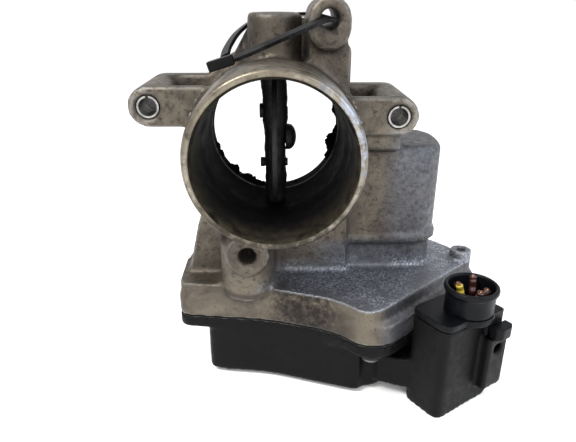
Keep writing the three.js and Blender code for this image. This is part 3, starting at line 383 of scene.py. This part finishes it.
sootLook = {
    "soot": (0.0016, 0.0016, 0.0020),
    "ash": (0.0055, 0.005, 0.0048),
    "mouth": (0.026, 0.022, 0.015),
    "step": (0.10, 0.095, 0.085),
    "specular": 0.02,
    "crustDepth": 0.0003,
    # where each fade starts and ends
    "mouthY": (-24, -41),
    "stepFront": (12.6, 13.0),
    "stepBack": (13.7, 13.4),
}


def sootedBore():
    material, tree, shader, place = startMaterial("sootedBore", 0.62, 0.0)
    shader.inputs["Specular IOR Level"].default_value = sootLook["specular"]
    y = axisValue(tree, place, 1)
    blotches = speckle(tree, place, 190, 6, 0.65, distortion=0.5)
    crust = speckle(tree, place, 1500, 4, 0.7)
    color = mixColors(tree, levels(tree, blotches, 0.45, 0.75), sootLook["soot"], sootLook["ash"])
    # The last centimetres towards the mouth are wiped, and show brown metal.
    mouth = fade(tree, y, 1, *sootLook["mouthY"])
    mouth = combine(tree, mouth, levels(tree, blotches, 0.3, 0.62))
    color = mixColors(tree, mouth, color, sootLook["mouth"])
    # A bright line shows where the narrower outlet starts.
    stepFront = fade(tree, y, 1, *sootLook["stepFront"])
    step = combine(tree, stepFront, fade(tree, y, 1, *sootLook["stepBack"]))
    step = combine(tree, step, levels(tree, blotches, 0.3, 0.5))
    color = mixColors(tree, step, color, sootLook["step"])
    tree.links.new(color, shader.inputs["Base Color"])
    tree.links.new(levels(tree, blotches, 0.3, 0.75, 0.5, 0.85), shader.inputs["Roughness"])
    addBump(tree, shader, crust, sootLook["crustDepth"], 0.8)
    return material


plasticLook = {
    "specular": 0.1,
    "wornAndSheen": (0.045, 0.045, 0.05),
    "grainDepth": 0.00008,
    "cover": {"color": (0.0016, 0.0016, 0.0018), "dust": (0.005, 0.0047, 0.0045), "dusty": 0.6},
    "plug": {"color": (0.0022, 0.0024, 0.0034), "dust": (0.006, 0.0064, 0.0085), "dusty": 0.5},
    "tie": {"color": (0.0016, 0.0016, 0.0018), "dust": (0.004, 0.004, 0.004), "dusty": 0.3},
}


def blackPlastic(name, roughness, color, dust, dusty):
    material, tree, shader, place = startMaterial(name)
    shader.inputs["Specular IOR Level"].default_value = plasticLook["specular"]
    clouds = speckle(tree, place, 60, 5, 0.6)
    patches = speckle(tree, place, 340, 4, 0.6)
    grain = speckle(tree, place, 3800, 2, 0.5)
    shade = mixColors(tree, levels(tree, clouds, 0.5, 0.8, 0.0, dusty), color, dust)
    # Painted highlight, partly real wear: sharp edges are lightened in patches.
    sheenAndWear = combine(tree, edgeSheenAndWear(tree, 0.53, 0.62), levels(tree, patches, 0.4, 0.65))
    shade = mixColors(tree, combine(tree, sheenAndWear, 0.3), shade, plasticLook["wornAndSheen"])
    tree.links.new(shade, shader.inputs["Base Color"])
    tree.links.new(levels(tree, patches, 0.3, 0.7, *roughness), shader.inputs["Roughness"])
    addBump(tree, shader, grain, plasticLook["grainDepth"], 0.35)
    return material


metalDirt = {"grime": 0.4, "metallic": 1.0, "scale": 400, "depth": 0.00004}


def plainMetal(name, color, dark, roughness, **changes):
    look = {**metalDirt, **changes}
    material, tree, shader, place = startMaterial(name, 0.35, look["metallic"])
    patches = speckle(tree, place, look["scale"], 4, 0.6)
    fine = speckle(tree, place, look["scale"] * 6, 2, 0.5)
    # Painted shade: the dark colour is laid into crevices from ambient occlusion, broken up by patches
    # of grime.
    shadeAndDirt = levels(tree, creviceShade(tree, 0.003), 0.95, 0.4)
    shadeAndDirt = combine(tree, shadeAndDirt, levels(tree, patches, 0.3, 0.6))
    shade = mixColors(tree, levels(tree, patches, 0.42, 0.75, 0.0, look["grime"]), color, dark)
    shade = mixColors(tree, combine(tree, shadeAndDirt, 0.8), shade, dark)
    tree.links.new(shade, shader.inputs["Base Color"])
    tree.links.new(levels(tree, patches, 0.3, 0.7, *roughness), shader.inputs["Roughness"])
    addBump(tree, shader, fine, look["depth"], 0.4)
    return material


softLook = {"scale": 500, "depth": 0.00006}


def softSolid(name, color, dark, roughness):
    material, tree, shader, place = startMaterial(name)
    patches = speckle(tree, place, softLook["scale"], 4, 0.6)
    fine = speckle(tree, place, softLook["scale"] * 7, 2, 0.5)
    shade = mixColors(tree, levels(tree, patches, 0.4, 0.75), color, dark)
    tree.links.new(shade, shader.inputs["Base Color"])
    tree.links.new(levels(tree, patches, 0.3, 0.7, *roughness), shader.inputs["Roughness"])
    addBump(tree, shader, fine, softLook["depth"], 0.5)
    return material


# name of the material, colour, colour of its dirt and of its painted crevice shade, range of roughness,
# and what else differs
metals = {
    "steel": ("groundSteel", (0.30, 0.295, 0.285), (0.08, 0.072, 0.065), (0.3, 0.5), {"grime": 0.7}),
    "sooty_steel": (
        "sootySteel", (0.006, 0.0055, 0.0055), (0.002, 0.002, 0.002), (0.5, 0.75),
        {"grime": 0.8, "metallic": 0.4, "scale": 900},
    ),
    "zinc_plate": ("zincPlate", (0.16, 0.158, 0.15), (0.05, 0.045, 0.038), (0.35, 0.55), {"grime": 0.7}),
    "plate_metal": (
        "sootyPlate", (0.006, 0.0055, 0.005), (0.002, 0.002, 0.002), (0.5, 0.8),
        {"grime": 0.8, "metallic": 0.4, "scale": 500},
    ),
    "brass": ("brassContact", (0.60, 0.42, 0.16), (0.25, 0.16, 0.06), (0.25, 0.45), {}),
    "copper": ("copperWinding", (0.48, 0.22, 0.11), (0.16, 0.06, 0.03), (0.25, 0.45), {"scale": 1500}),
    "bare_copper": (
        "bareCopper", (0.22, 0.10, 0.05), (0.07, 0.035, 0.02), (0.25, 0.45), {"scale": 2500},
    ),
}
softs = {
    "ferrite": ("ferrite", (0.035, 0.035, 0.038), (0.015, 0.015, 0.016), (0.5, 0.75)),
    "rubber": ("sealRubber", (0.012, 0.012, 0.012), (0.022, 0.021, 0.020), (0.5, 0.75)),
    "pale_plastic": ("acetal", (0.55, 0.51, 0.40), (0.42, 0.38, 0.29), (0.35, 0.5)),
    "circuit_board": ("solderMask", (0.012, 0.09, 0.04), (0.008, 0.06, 0.028), (0.25, 0.4)),
    "yellow_wire": ("yellowInsulation", (0.36, 0.27, 0.02), (0.16, 0.11, 0.02), (0.35, 0.5)),
    "dark_wire": ("redInsulation", (0.040, 0.009, 0.008), (0.018, 0.006, 0.006), (0.35, 0.5)),
}
finishes = {
    "cast_aluminium": castAluminium("castAluminium", 0.6),
    "cast_face": castAluminium("castFace", 0.0),
    "black_plastic": blackPlastic("coverPlastic", (0.4, 0.6), **plasticLook["cover"]),
    "plug_plastic": blackPlastic("plugPlastic", (0.28, 0.45), **plasticLook["plug"]),
    "nylon": blackPlastic("tieNylon", (0.3, 0.42), **plasticLook["tie"]),
    "turned": turnedAluminium(),
    "sooted": sootedBore(),
}
for slotName, (*look, changes) in metals.items():
    finishes[slotName] = plainMetal(*look, **changes)
for slotName, look in softs.items():
    finishes[slotName] = softSolid(*look)
slotOfNode = {part["node"]: part["material_slot"] for part in frame["record"]["subparts"]}
print("finishes ready:", len(finishes))


def newPiece(name, mesh, finish, body="body", nodes=()):
    piece = bpy.data.objects.new(name, mesh)
    bpy.context.scene.collection.objects.link(piece)
    # the first finish gives the piece its slot, if none is named
    looks = [finish] if isinstance(finish, str) else finish
    for look in looks:
        mesh.materials.append(finishes[look])
    mesh.shade_smooth()
    if nodes:
        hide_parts(*nodes)
    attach(piece, body)
    return piece


def meshFrom(work, name):
    mesh = bpy.data.meshes.new(name)
    work.to_mesh(mesh)
    work.free()
    return mesh


softening = {"factor": 0.5, "mergeWithin": 0.00002, "dissolveWithin": 0.00001}


def mergedCopy(node):
    work = bmesh.new()
    work.from_mesh(frame["nodes"][node].data)
    bmesh.ops.remove_doubles(work, verts=work.verts, dist=softening["mergeWithin"])
    bmesh.ops.dissolve_degenerate(work, edges=work.edges, dist=softening["dissolveWithin"])
    return work


def scratchObject(work, name):
    piece = bpy.data.objects.new(name, meshFrom(work, name))
    bpy.context.scene.collection.objects.link(piece)
    return piece


def evaluated(piece):
    graph = bpy.context.evaluated_depsgraph_get()
    return bpy.data.meshes.new_from_object(piece.evaluated_get(graph))


def castCopy(node, voxel, rounds, cutters=()):
    # remeshed, softened, and then cut with sharp edges
    blank = scratchObject(mergedCopy(node), node + "_blank")
    remesh = blank.modifiers.new("remesh", "REMESH")
    remesh.mode = "VOXEL"
    remesh.voxel_size = voxel
    smooth = blank.modifiers.new("smooth", "SMOOTH")
    smooth.factor = softening["factor"]
    smooth.iterations = rounds
    for i, cutter in enumerate(cutters):
        cut = blank.modifiers.new(f"cut{i}", "BOOLEAN")
        cut.operation = "DIFFERENCE"
        cut.solver = "MANIFOLD"
        cut.object = cutter
    mesh = evaluated(blank)
    mesh.materials.clear()
    for piece in (blank, *cutters):
        bpy.data.objects.remove(piece)
    return mesh


def cylinderTool(name, start, end, radius, steps=64, endRadius=None):
    axis = Vector(end) - Vector(start)
    work = bmesh.new()
    bmesh.ops.create_cone(
        work,
        cap_ends=True,
        segments=steps,
        radius1=radius * mm,
        radius2=(endRadius or radius) * mm,
        depth=axis.length * mm,
    )
    turn = axis.to_track_quat("Z", "Y").to_matrix().to_4x4()
    middle = (Vector(start) + Vector(end)) / 2
    bmesh.ops.transform(work, verts=work.verts, matrix=Matrix.Translation(at(*middle)) @ turn)
    return scratchObject(work, name)


def boxTool(name, low, high):
    work = bmesh.new()
    bmesh.ops.create_cube(work, size=1)
    size = (Vector(high) - Vector(low)) * mm
    bmesh.ops.scale(work, verts=work.verts, vec=size)
    bmesh.ops.translate(work, verts=work.verts, vec=at(*((Vector(low) + Vector(high)) / 2)))
    return scratchObject(work, name)


def spun(profile, steps, middle, axis):
    work = bmesh.new()
    corners = [work.verts.new(at(*point)) for point in profile]
    for first, second in zip(corners, corners[1:] + corners[:1]):
        work.edges.new((first, second))
    bmesh.ops.spin(
        work,
        geom=work.verts[:] + work.edges[:],
        cent=at(*middle),
        axis=axis,
        angle=math.tau,
        steps=steps,
        use_merge=True,
    )
    bmesh.ops.remove_doubles(work, verts=work.verts, dist=0.000005)
    bmesh.ops.recalc_face_normals(work, faces=work.faces)
    return work


def keepHalf(tool, place, direction):
    # cuts a tool at a plane through place and keeps the side that direction points to
    work = bmesh.new()
    work.from_mesh(tool.data)
    cut = bmesh.ops.bisect_plane(
        work,
        geom=work.verts[:] + work.edges[:] + work.faces[:],
        plane_co=at(*place),
        plane_no=direction,
        clear_inner=True,
    )
    rim = [item for item in cut["geom_cut"] if isinstance(item, bmesh.types.BMEdge)]
    bmesh.ops.holes_fill(work, edges=rim)
    bmesh.ops.recalc_face_normals(work, faces=work.faces)
    work.to_mesh(tool.data)
    work.free()
    return tool


# The casting is a remeshed and softened copy.
# What the mills, the drills and the lathe touched is cut after that.
casting = {
    "voxel": 0.0011,
    "rounds": 4,
    "spigotRadius": 32.0,
    "spigotEnd": -17.2,
    "bossFront": -29.3,
    "faces": [  # low and high corner of what the mills took off
        ((-57, -30, 4), (-37, -16.9, 26)),
        ((37, -30, 0), (57, -16.9, 21)),
        ((11, -30, 36), (31, -16.9, 56)),
        ((-24, -40, -52), (1, -28.9, -33)),
        ((-90, 21.9, -57), (23.6, 40, 60)),
        ((23.6, 21.9, -1.5), (90, 40, 60)),
        ((-60, -60, -90), (110, 60, -71.9)),
        ((-12, -12, 46.9), (11.6, 12, 60)),
    ],
    "holes": [  # x, z, front, radius
        (-46.3, 15, -17, 4.2),
        (46.3, 11, -17, 4.2),
        (19.6, 45.1, -17, 3.4),
        (-11, -40, -29, 3.4),
    ],
    "chamfer": 0.7,
    "groove": (29.1, 32.5, 19.8),  # inner and outer radius and floor of the ring seal's groove
    "manifoldRoom": 35.6,
    "bearingSeat": 6.3,
    "postHole": (83, 3.2, 2.0),  # x, y and radius of the hole in the pan's far corner
}


def grooveTool():
    inner, outer, floor = casting["groove"]
    profile = [(0, floor, inner), (0, floor, outer), (0, 25, outer), (0, 25, inner)]
    return scratchObject(spun(profile, 128, (0, 0, 0), (0, 1, 0)), "grooveTool")


def spigotTools():
    wide = casting["spigotRadius"] + 1.2
    end = casting["spigotEnd"]
    tools = [
        cylinderTool("spigotTool", (0, -70, 0), (0, end, 0), casting["spigotRadius"] - 0.4, 128),
        cylinderTool("noseTool", (0, -70, 0), (0, casting["bossFront"], 0), wide, 128),
    ]
    # the low boss stays whole: the skin goes only above it and to either side
    for name, place, direction in (
        ("upperTool", (0, 0, -25), (0, 0, 1)),
        ("rightTool", (0.6, 0, 0), (1, 0, 0)),
        ("leftTool", (-22.5, 0, 0), (-1, 0, 0)),
    ):
        tool = cylinderTool(name, (0, -70, 0), (0, end, 0), wide, 128)
        tools.append(keepHalf(tool, place, direction))
    return tools


def housingCutters():
    tools = spigotTools() + [
        cylinderTool("boreTool", (0, -70, 0), (0, 18.5, 0), 30.2, 128),
        cylinderTool("outletTool", (0, 18, 0), (0, 40, 0), 28.4, 128),
        cylinderTool("manifoldTool", (0, 21.9, 0), (0, 36, 0), casting["manifoldRoom"], 128),
        cylinderTool("capTool", (0, 0, 44), (0, 0, 50), casting["bearingSeat"], 48),
        grooveTool(),
    ]
    x, y, radius = casting["postHole"]
    tools.append(cylinderTool("postTool", (x, y, -57), (x, y, -50), radius, 32))
    for i, (low, high) in enumerate(casting["faces"]):
        tools.append(boxTool(f"mill{i}", low, high))
    chamfer = casting["chamfer"]
    for i, (x, z, front, radius) in enumerate(casting["holes"]):
        tools.append(cylinderTool(f"drill{i}", (x, front - 5, z), (x, 30, z), radius, 48))
        start, end = (x, front - 1, z), (x, front + chamfer, z)
        tools.append(cylinderTool(f"sink{i}", start, end, radius + chamfer + 1, 48, radius))
    return tools


def makeCasting():
    mesh = castCopy("housing", casting["voxel"], casting["rounds"], housingCutters())
    newPiece("casting", mesh, ["cast_aluminium", "turned", "cast_face"], nodes=["housing"])
    # the cut faces are flat: the rear one is turned, those in front are milled
    rear, front = at(0, 21.9, 0).y, at(0, -16.8, 0).y
    for face in mesh.polygons:
        behind = face.normal.y > 0.999 and abs(face.center.y - rear) < 0.1 * mm
        ahead = face.normal.y < -0.999 and face.center.y < front
        face.material_index = 1 if behind else 2 if ahead else 0
        face.use_smooth = not (behind or ahead)
    mesh.set_sharp_from_angle(angle=math.radians(38))
    print("casting triangles:", sum(len(face.vertices) - 2 for face in mesh.polygons))


barrel = {
    "steps": 160,
    "inside": 29.0,  # faces nearer the axis than this are sooted
    # y and radius, outside from the nose to the flange, then inside back to the nose
    "profile": [
        (-41.0, 29.5), (-41.0, 30.5), (-40.7, 31.0), (-40.1, 31.4), (-39.2, 31.7), (-38.2, 31.9),
        (-36.6, 32.0), (-36.3, 31.9), (-36.1, 31.5), (-35.4, 31.35), (-34.9, 31.5), (-34.7, 31.9),
        (-34.4, 32.0), (-30.2, 31.97), (-30.0, 31.85), (-29.8, 31.97), (-24.0, 31.95), (-23.8, 31.83),
        (-23.6, 31.95), (-17.4, 31.93), (-16.6, 31.2), (-16.0, 30.6), (18.2, 30.6), (18.4, 28.8),
        (21.6, 28.8), (21.85, 28.6), (21.85, 27.2), (21.3, 26.7), (20.6, 26.6), (13.6, 26.6),
        (13.3, 26.8), (13.1, 27.0), (-10.0, 27.0), (-11.0, 27.1), (-16.0, 27.9), (-17.0, 28.0),
        (-38.6, 28.0), (-39.6, 28.15), (-40.3, 28.6), (-40.8, 29.1),
    ],
}


def makeBarrel():
    profile = [(0, y, radius) for y, radius in barrel["profile"]]
    work = spun(profile, barrel["steps"], (0, 0, 0), (0, 1, 0))
    middle = at(0, 0, 0)
    for face in work.faces:
        centre = face.calc_center_median()
        radius = math.hypot(centre.x - middle.x, centre.z - middle.z) / mm
        face.material_index = 1 if radius < barrel["inside"] else 0
    mesh = meshFrom(work, "barrel")
    newPiece("barrel_liner", mesh, ["turned", "sooted"], nodes=["housing"])
    mesh.set_sharp_from_angle(angle=math.radians(50))


makeCasting()
makeBarrel()
print("housing ready")


# voxel size and smoothing rounds of the moulded and the small turned pieces
softened = {
    "gear_cover": (0.0008, 2),
    "plug_housing": (0.00034, 2),
    "plug_lock": (0.0003, 3),
    "plate_screw_1": (0.0002, 2),
    "plate_screw_2": (0.0002, 2),
    "cable_tie_head": (0.0002, 3),
}
bodies = frame["record"]["behaviour"]["bodies"]
bodyOfNode = {node: name for name, nodes in bodies.items() for node in nodes}


def makeSoftened():
    for node, (voxel, rounds) in softened.items():
        mesh = castCopy(node, voxel, rounds)
        newPiece(node + "_skin", mesh, slotOfNode[node], bodyOfNode[node], [node])
        print(node, sum(len(face.vertices) - 2 for face in mesh.polygons))


def makeRivet():
    # soot hides its riveted tail, so only the domed side is drawn
    tail = boxTool("tailTool", (-9, -4, -4), (-4.1, 4, 4))
    mesh = castCopy("plate_centre_rivet", 0.0002, 2, [tail])
    newPiece("plate_centre_rivet_skin", mesh, "sooty_steel", "throttle", ["plate_centre_rivet"])


# The shaft is thick with soot inside the bore, more so in its upper half.
shaftLook = {
    "radius": 3.98,
    "soot": 0.55,
    "leastSoot": 0.25,
    "upperSoot": 0.75,
    "upperReach": 8,  # how far above the middle the upper soot is at its thickest
    "lumps": 150,
    "boreEnd": 26.2,
    "step": 0.5,
    "sides": 48,
}


def makeShaft():
    low = (shaftLow.z - boreMiddle.z) / mm
    high = (shaftHigh.z - boreMiddle.z) / mm
    radius = shaftLook["radius"]
    rings = int((high - low - 1) / shaftLook["step"])
    profile = [(0, 0, low), (radius - 0.5, 0, low), (radius, 0, low + 0.5)]
    profile += [(radius, 0, low + 0.5 + (high - low - 1) * i / rings) for i in range(1, rings)]
    profile += [(radius, 0, high - 0.5), (radius - 0.5, 0, high), (0, 0, high)]
    work = spun(profile, shaftLook["sides"], (0, 0, 0), (0, 0, 1))
    for vert in work.verts:
        height = (vert.co.z - boreMiddle.z) / mm
        if abs(height) < shaftLook["boreEnd"]:
            away = Vector((vert.co.x - boreMiddle.x, vert.co.y - boreMiddle.y, 0))
            if away.length > radius * 0.9 * mm:
                rise = min(1.0, max(0.0, height / shaftLook["upperReach"]))
                upper = rise * shaftLook["upperSoot"]
                lump = noise.fractal(vert.co * shaftLook["lumps"], 0.8, 2.1, 4)
                thick = max(0.0, shaftLook["leastSoot"] + upper + lump * shaftLook["soot"])
                vert.co += away.normalized() * thick * mm
    mesh = meshFrom(work, "shaft")
    nodes = ["throttle_shaft"]
    newPiece("throttle_shaft_skin", mesh, "sooty_steel", "throttle", nodes)
    mesh.set_sharp_from_angle(angle=math.radians(50))


makeSoftened()
makeRivet()
makeShaft()
print("moulded pieces ready")


valvePlate = {"radius": 26.6, "half": 1.0, "edge": 0.35, "steps": 128}


def makePlate():
    radius, half, edge = valvePlate["radius"], valvePlate["half"], valvePlate["edge"]
    work = bmesh.new()
    bmesh.ops.create_cone(
        work,
        cap_ends=True,
        segments=valvePlate["steps"],
        radius1=radius * mm,
        radius2=radius * mm,
        depth=2 * half * mm,
    )
    rims = [rim for rim in work.edges if abs(rim.verts[0].co.z - rim.verts[1].co.z) < 1e-7]
    bmesh.ops.bevel(
        work, geom=rims, offset=edge * mm, segments=3, profile=0.5, material=-1, affect="EDGES"
    )
    turn = Vector((1, 0, 0)).to_track_quat("Z", "Y").to_matrix().to_4x4()
    bmesh.ops.transform(work, verts=work.verts, matrix=Matrix.Translation(at(0, 0, 0)) @ turn)
    mesh = meshFrom(work, "plate")
    newPiece("throttle_plate_disc", mesh, "plate_metal", "throttle", ["throttle_plate"])
    mesh.set_sharp_from_angle(angle=math.radians(35))


makePlate()

# soot that has baked on round the back of the bore
soot = {
    "radius": 26.9,
    "y": 17.5,
    "thick": 1.5,
    "steps": 300,
    "ringSteps": 14,
    "reach": 2.7,
    "lumps": 190,
    "patches": 60,
    "ripples": 260,
    "sunk": 1.0,  # how far the crust's middle lies outside the bore's wall
}


def makeSootCrust():
    work = bmesh.new()
    bmesh.ops.create_circle(work, segments=soot["ringSteps"], radius=soot["thick"] * mm)
    turn = Matrix.Rotation(math.pi / 2, 4, "Y")
    start = Matrix.Translation(at(0, soot["y"], soot["radius"]))
    bmesh.ops.transform(work, verts=work.verts, matrix=start @ turn)
    axis = at(0, 0, 0)
    bmesh.ops.spin(
        work,
        geom=work.verts[:] + work.edges[:],
        cent=axis,
        axis=(0, 1, 0),
        angle=math.tau,
        steps=soot["steps"],
        use_merge=True,
    )
    bmesh.ops.remove_doubles(work, verts=work.verts, dist=0.000005)
    bmesh.ops.recalc_face_normals(work, faces=work.faces)
    for vert in work.verts:
        fromAxis = Vector((vert.co.x - axis.x, 0, vert.co.z - axis.z))
        lump = noise.fractal(vert.co * soot["lumps"], 0.7, 2.1, 5)
        patch = noise.noise(vert.co * soot["patches"] + Vector((3.1, 0, 7.7)))
        inward = max(0.0, lump * 0.8 + patch * 1.3 - 0.05) * soot["reach"] - soot["sunk"]
        vert.co -= fromAxis.normalized() * inward * mm
        vert.co.y += noise.noise(vert.co * soot["ripples"]) * mm
    newPiece("soot_crust", meshFrom(work, "sootCrust"), "sooted")


makeSootCrust()
print("throttle and soot ready")


collar = {
    "steps": 96,
    # radius and height above the foot: outside up, then inside down
    "profile": [
        (7.4, 0.0), (9.1, 0.0), (9.25, 0.4), (9.15, 1.2), (9.2, 4.0), (9.4, 7.2), (9.6, 7.8),
        (9.95, 8.2), (10.2, 8.6), (10.2, 9.4), (10.0, 10.05), (9.5, 10.38), (9.0, 10.3),
        (8.6, 9.9), (8.5, 9.2), (8.2, 6.0), (7.6, 1.5),
    ],
}


def makeCollar():
    low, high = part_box("wire_collar")
    foot = (Vector(((low.x + high.x) / 2, (low.y + high.y) / 2, low.z)) - boreMiddle) / mm
    profile = [(foot.x + radius, foot.y, foot.z + height) for radius, height in collar["profile"]]
    work = spun(profile, collar["steps"], tuple(foot), (0, 0, 1))
    newPiece("wire_collar_skin", meshFrom(work, "collar"), "plug_plastic", "plug", ["wire_collar"])


def swept(points, ring, widthAxis):
    # pushes the ring's face along the points, turning it as little as the bends allow
    work = bmesh.new()
    verts = ring(work)
    wide = Vector(widthAxis)
    frames = []
    for i, point in enumerate(points):
        ahead = (points[min(i + 1, len(points) - 1)] - points[max(i - 1, 0)]).normalized()
        wide = (wide - ahead * wide.dot(ahead)).normalized()
        turned = Matrix((wide, ahead.cross(wide), ahead)).transposed().to_4x4()
        frames.append(Matrix.Translation(point) @ turned)
    bmesh.ops.transform(work, verts=verts, matrix=frames[0])
    face = list(work.faces)[0]
    for before, after in zip(frames, frames[1:]):
        grown = bmesh.ops.extrude_face_region(work, geom=[face])["geom"]
        moved = [item for item in grown if isinstance(item, bmesh.types.BMVert)]
        face = [item for item in grown if isinstance(item, bmesh.types.BMFace)][0]
        bmesh.ops.transform(work, verts=moved, matrix=after @ before.inverted())
    bmesh.ops.recalc_face_normals(work, faces=work.faces)
    return work


def smoothPath(points, steps):
    # a curve through all the points, evenly shared between each pair
    route = []
    last = len(points) - 1
    for i in range(last):
        start, end = points[i], points[i + 1]
        before, after = points[max(i - 1, 0)], points[min(i + 2, last)]
        for k in range(steps):
            t = k / steps
            route.append(0.5 * (
                2 * start
                + (end - before) * t
                + (2 * before - 5 * start + 4 * end - after) * t ** 2
                + (3 * start - before - 3 * end + after) * t ** 3
            ))
    route.append(points[last])
    return route


wires = {
    "count": 5,
    "radius": 1.35,
    "sides": 20,
    "core": 0.6,
    "coreSides": 12,
    "coreOut": 0.6,
    "lean": 1.7,
    "steps": 4,
}


def wireRing(radius, sides):
    # swept asks for the ring once it has somewhere to put it
    def draw(work):
        ring = bmesh.ops.create_circle(work, cap_ends=True, segments=sides, radius=radius)
        return ring["verts"]

    return draw


def makeWires():
    low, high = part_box("wire_collar")
    middle = (low + high) / 2
    for i in range(1, wires["count"] + 1):
        node = f"plug_wire_{i}"
        wireLow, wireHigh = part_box(node)
        x, y = (wireLow.x + wireHigh.x) / 2, (wireLow.y + wireHigh.y) / 2
        away = Vector((x - middle.x, y - middle.y, 0)).normalized()
        side = Vector((-away.y, away.x, 0))
        lean = away * 0.9 + side * (0.6 if i % 2 else -0.7)
        height = wireHigh.z - wireLow.z
        points = [
            Vector((x, y, wireLow.z)),
            Vector((x, y, wireLow.z + height * 0.45)),
            Vector((x, y, wireLow.z + height * 0.75)) + lean * wires["lean"] * 0.35 * mm,
            Vector((x, y, wireHigh.z)) + lean * wires["lean"] * 0.8 * mm,
        ]
        route = smoothPath(points, wires["steps"])
        work = swept(route, wireRing(wires["radius"] * mm, wires["sides"]), (1, 0, 0))
        newPiece(node + "_skin", meshFrom(work, node), slotOfNode[node], "plug", [node])
        tip = route[-1] + (route[-1] - route[-2]).normalized() * wires["coreOut"] * mm
        core = wireRing(wires["core"] * mm, wires["coreSides"])
        work = swept([route[-2], route[-1], tip], core, (1, 0, 0))
        mesh = meshFrom(work, node + "Core")
        newPiece(node + "_core", mesh, "bare_copper", "plug")


makeCollar()
makeWires()
print("plug ready")


tie = {
    "width": 3.4,
    "thickness": 1.3,
    "across": (0, 0.94, 0.34),  # the way the strap's width lies at its start
    # along the strap, from the head over the lug, through its hole and back behind the boss
    "route": [
        (-13.8, -18.7, 32.3), (-7, -18.8, 34.9), (8, -18.9, 41.2), (16.6, -18.6, 44.7),
        (19.6, -15, 45.1), (19.6, 2, 45.1), (19.4, 18, 45.1), (18.1, 24.6, 45.1),
        (11.6, 24.8, 45.3), (2, 19.5, 44.8), (-7, 12.5, 43.7), (-13.6, 4.5, 39.7),
        (-17, -5, 35.1), (-17.6, -12.5, 32.5),
    ],
    "steps": 10,
}


def strapRing(work):
    verts = bmesh.ops.create_grid(work, x_segments=1, y_segments=1, size=0.5)["verts"]
    bmesh.ops.scale(work, verts=verts, vec=(tie["width"] * mm, tie["thickness"] * mm, 1))
    return verts


def makeTie():
    points = [at(*point) for point in tie["route"]]
    work = swept(smoothPath(points, tie["steps"]), strapRing, tie["across"])
    mesh = meshFrom(work, "strap")
    newPiece("cable_tie_strap_skin", mesh, "nylon", "body", ["cable_tie_strap"])
    mesh.set_sharp_from_angle(angle=math.radians(40))


makeTie()
print("cable tie ready")


def dressNodes():
    # what stays as the frame has it gets the finish of its slot
    for node, slotName in slotOfNode.items():
        materials = frame["nodes"][node].data.materials
        materials.clear()
        materials.append(finishes[slotName])


dressNodes()
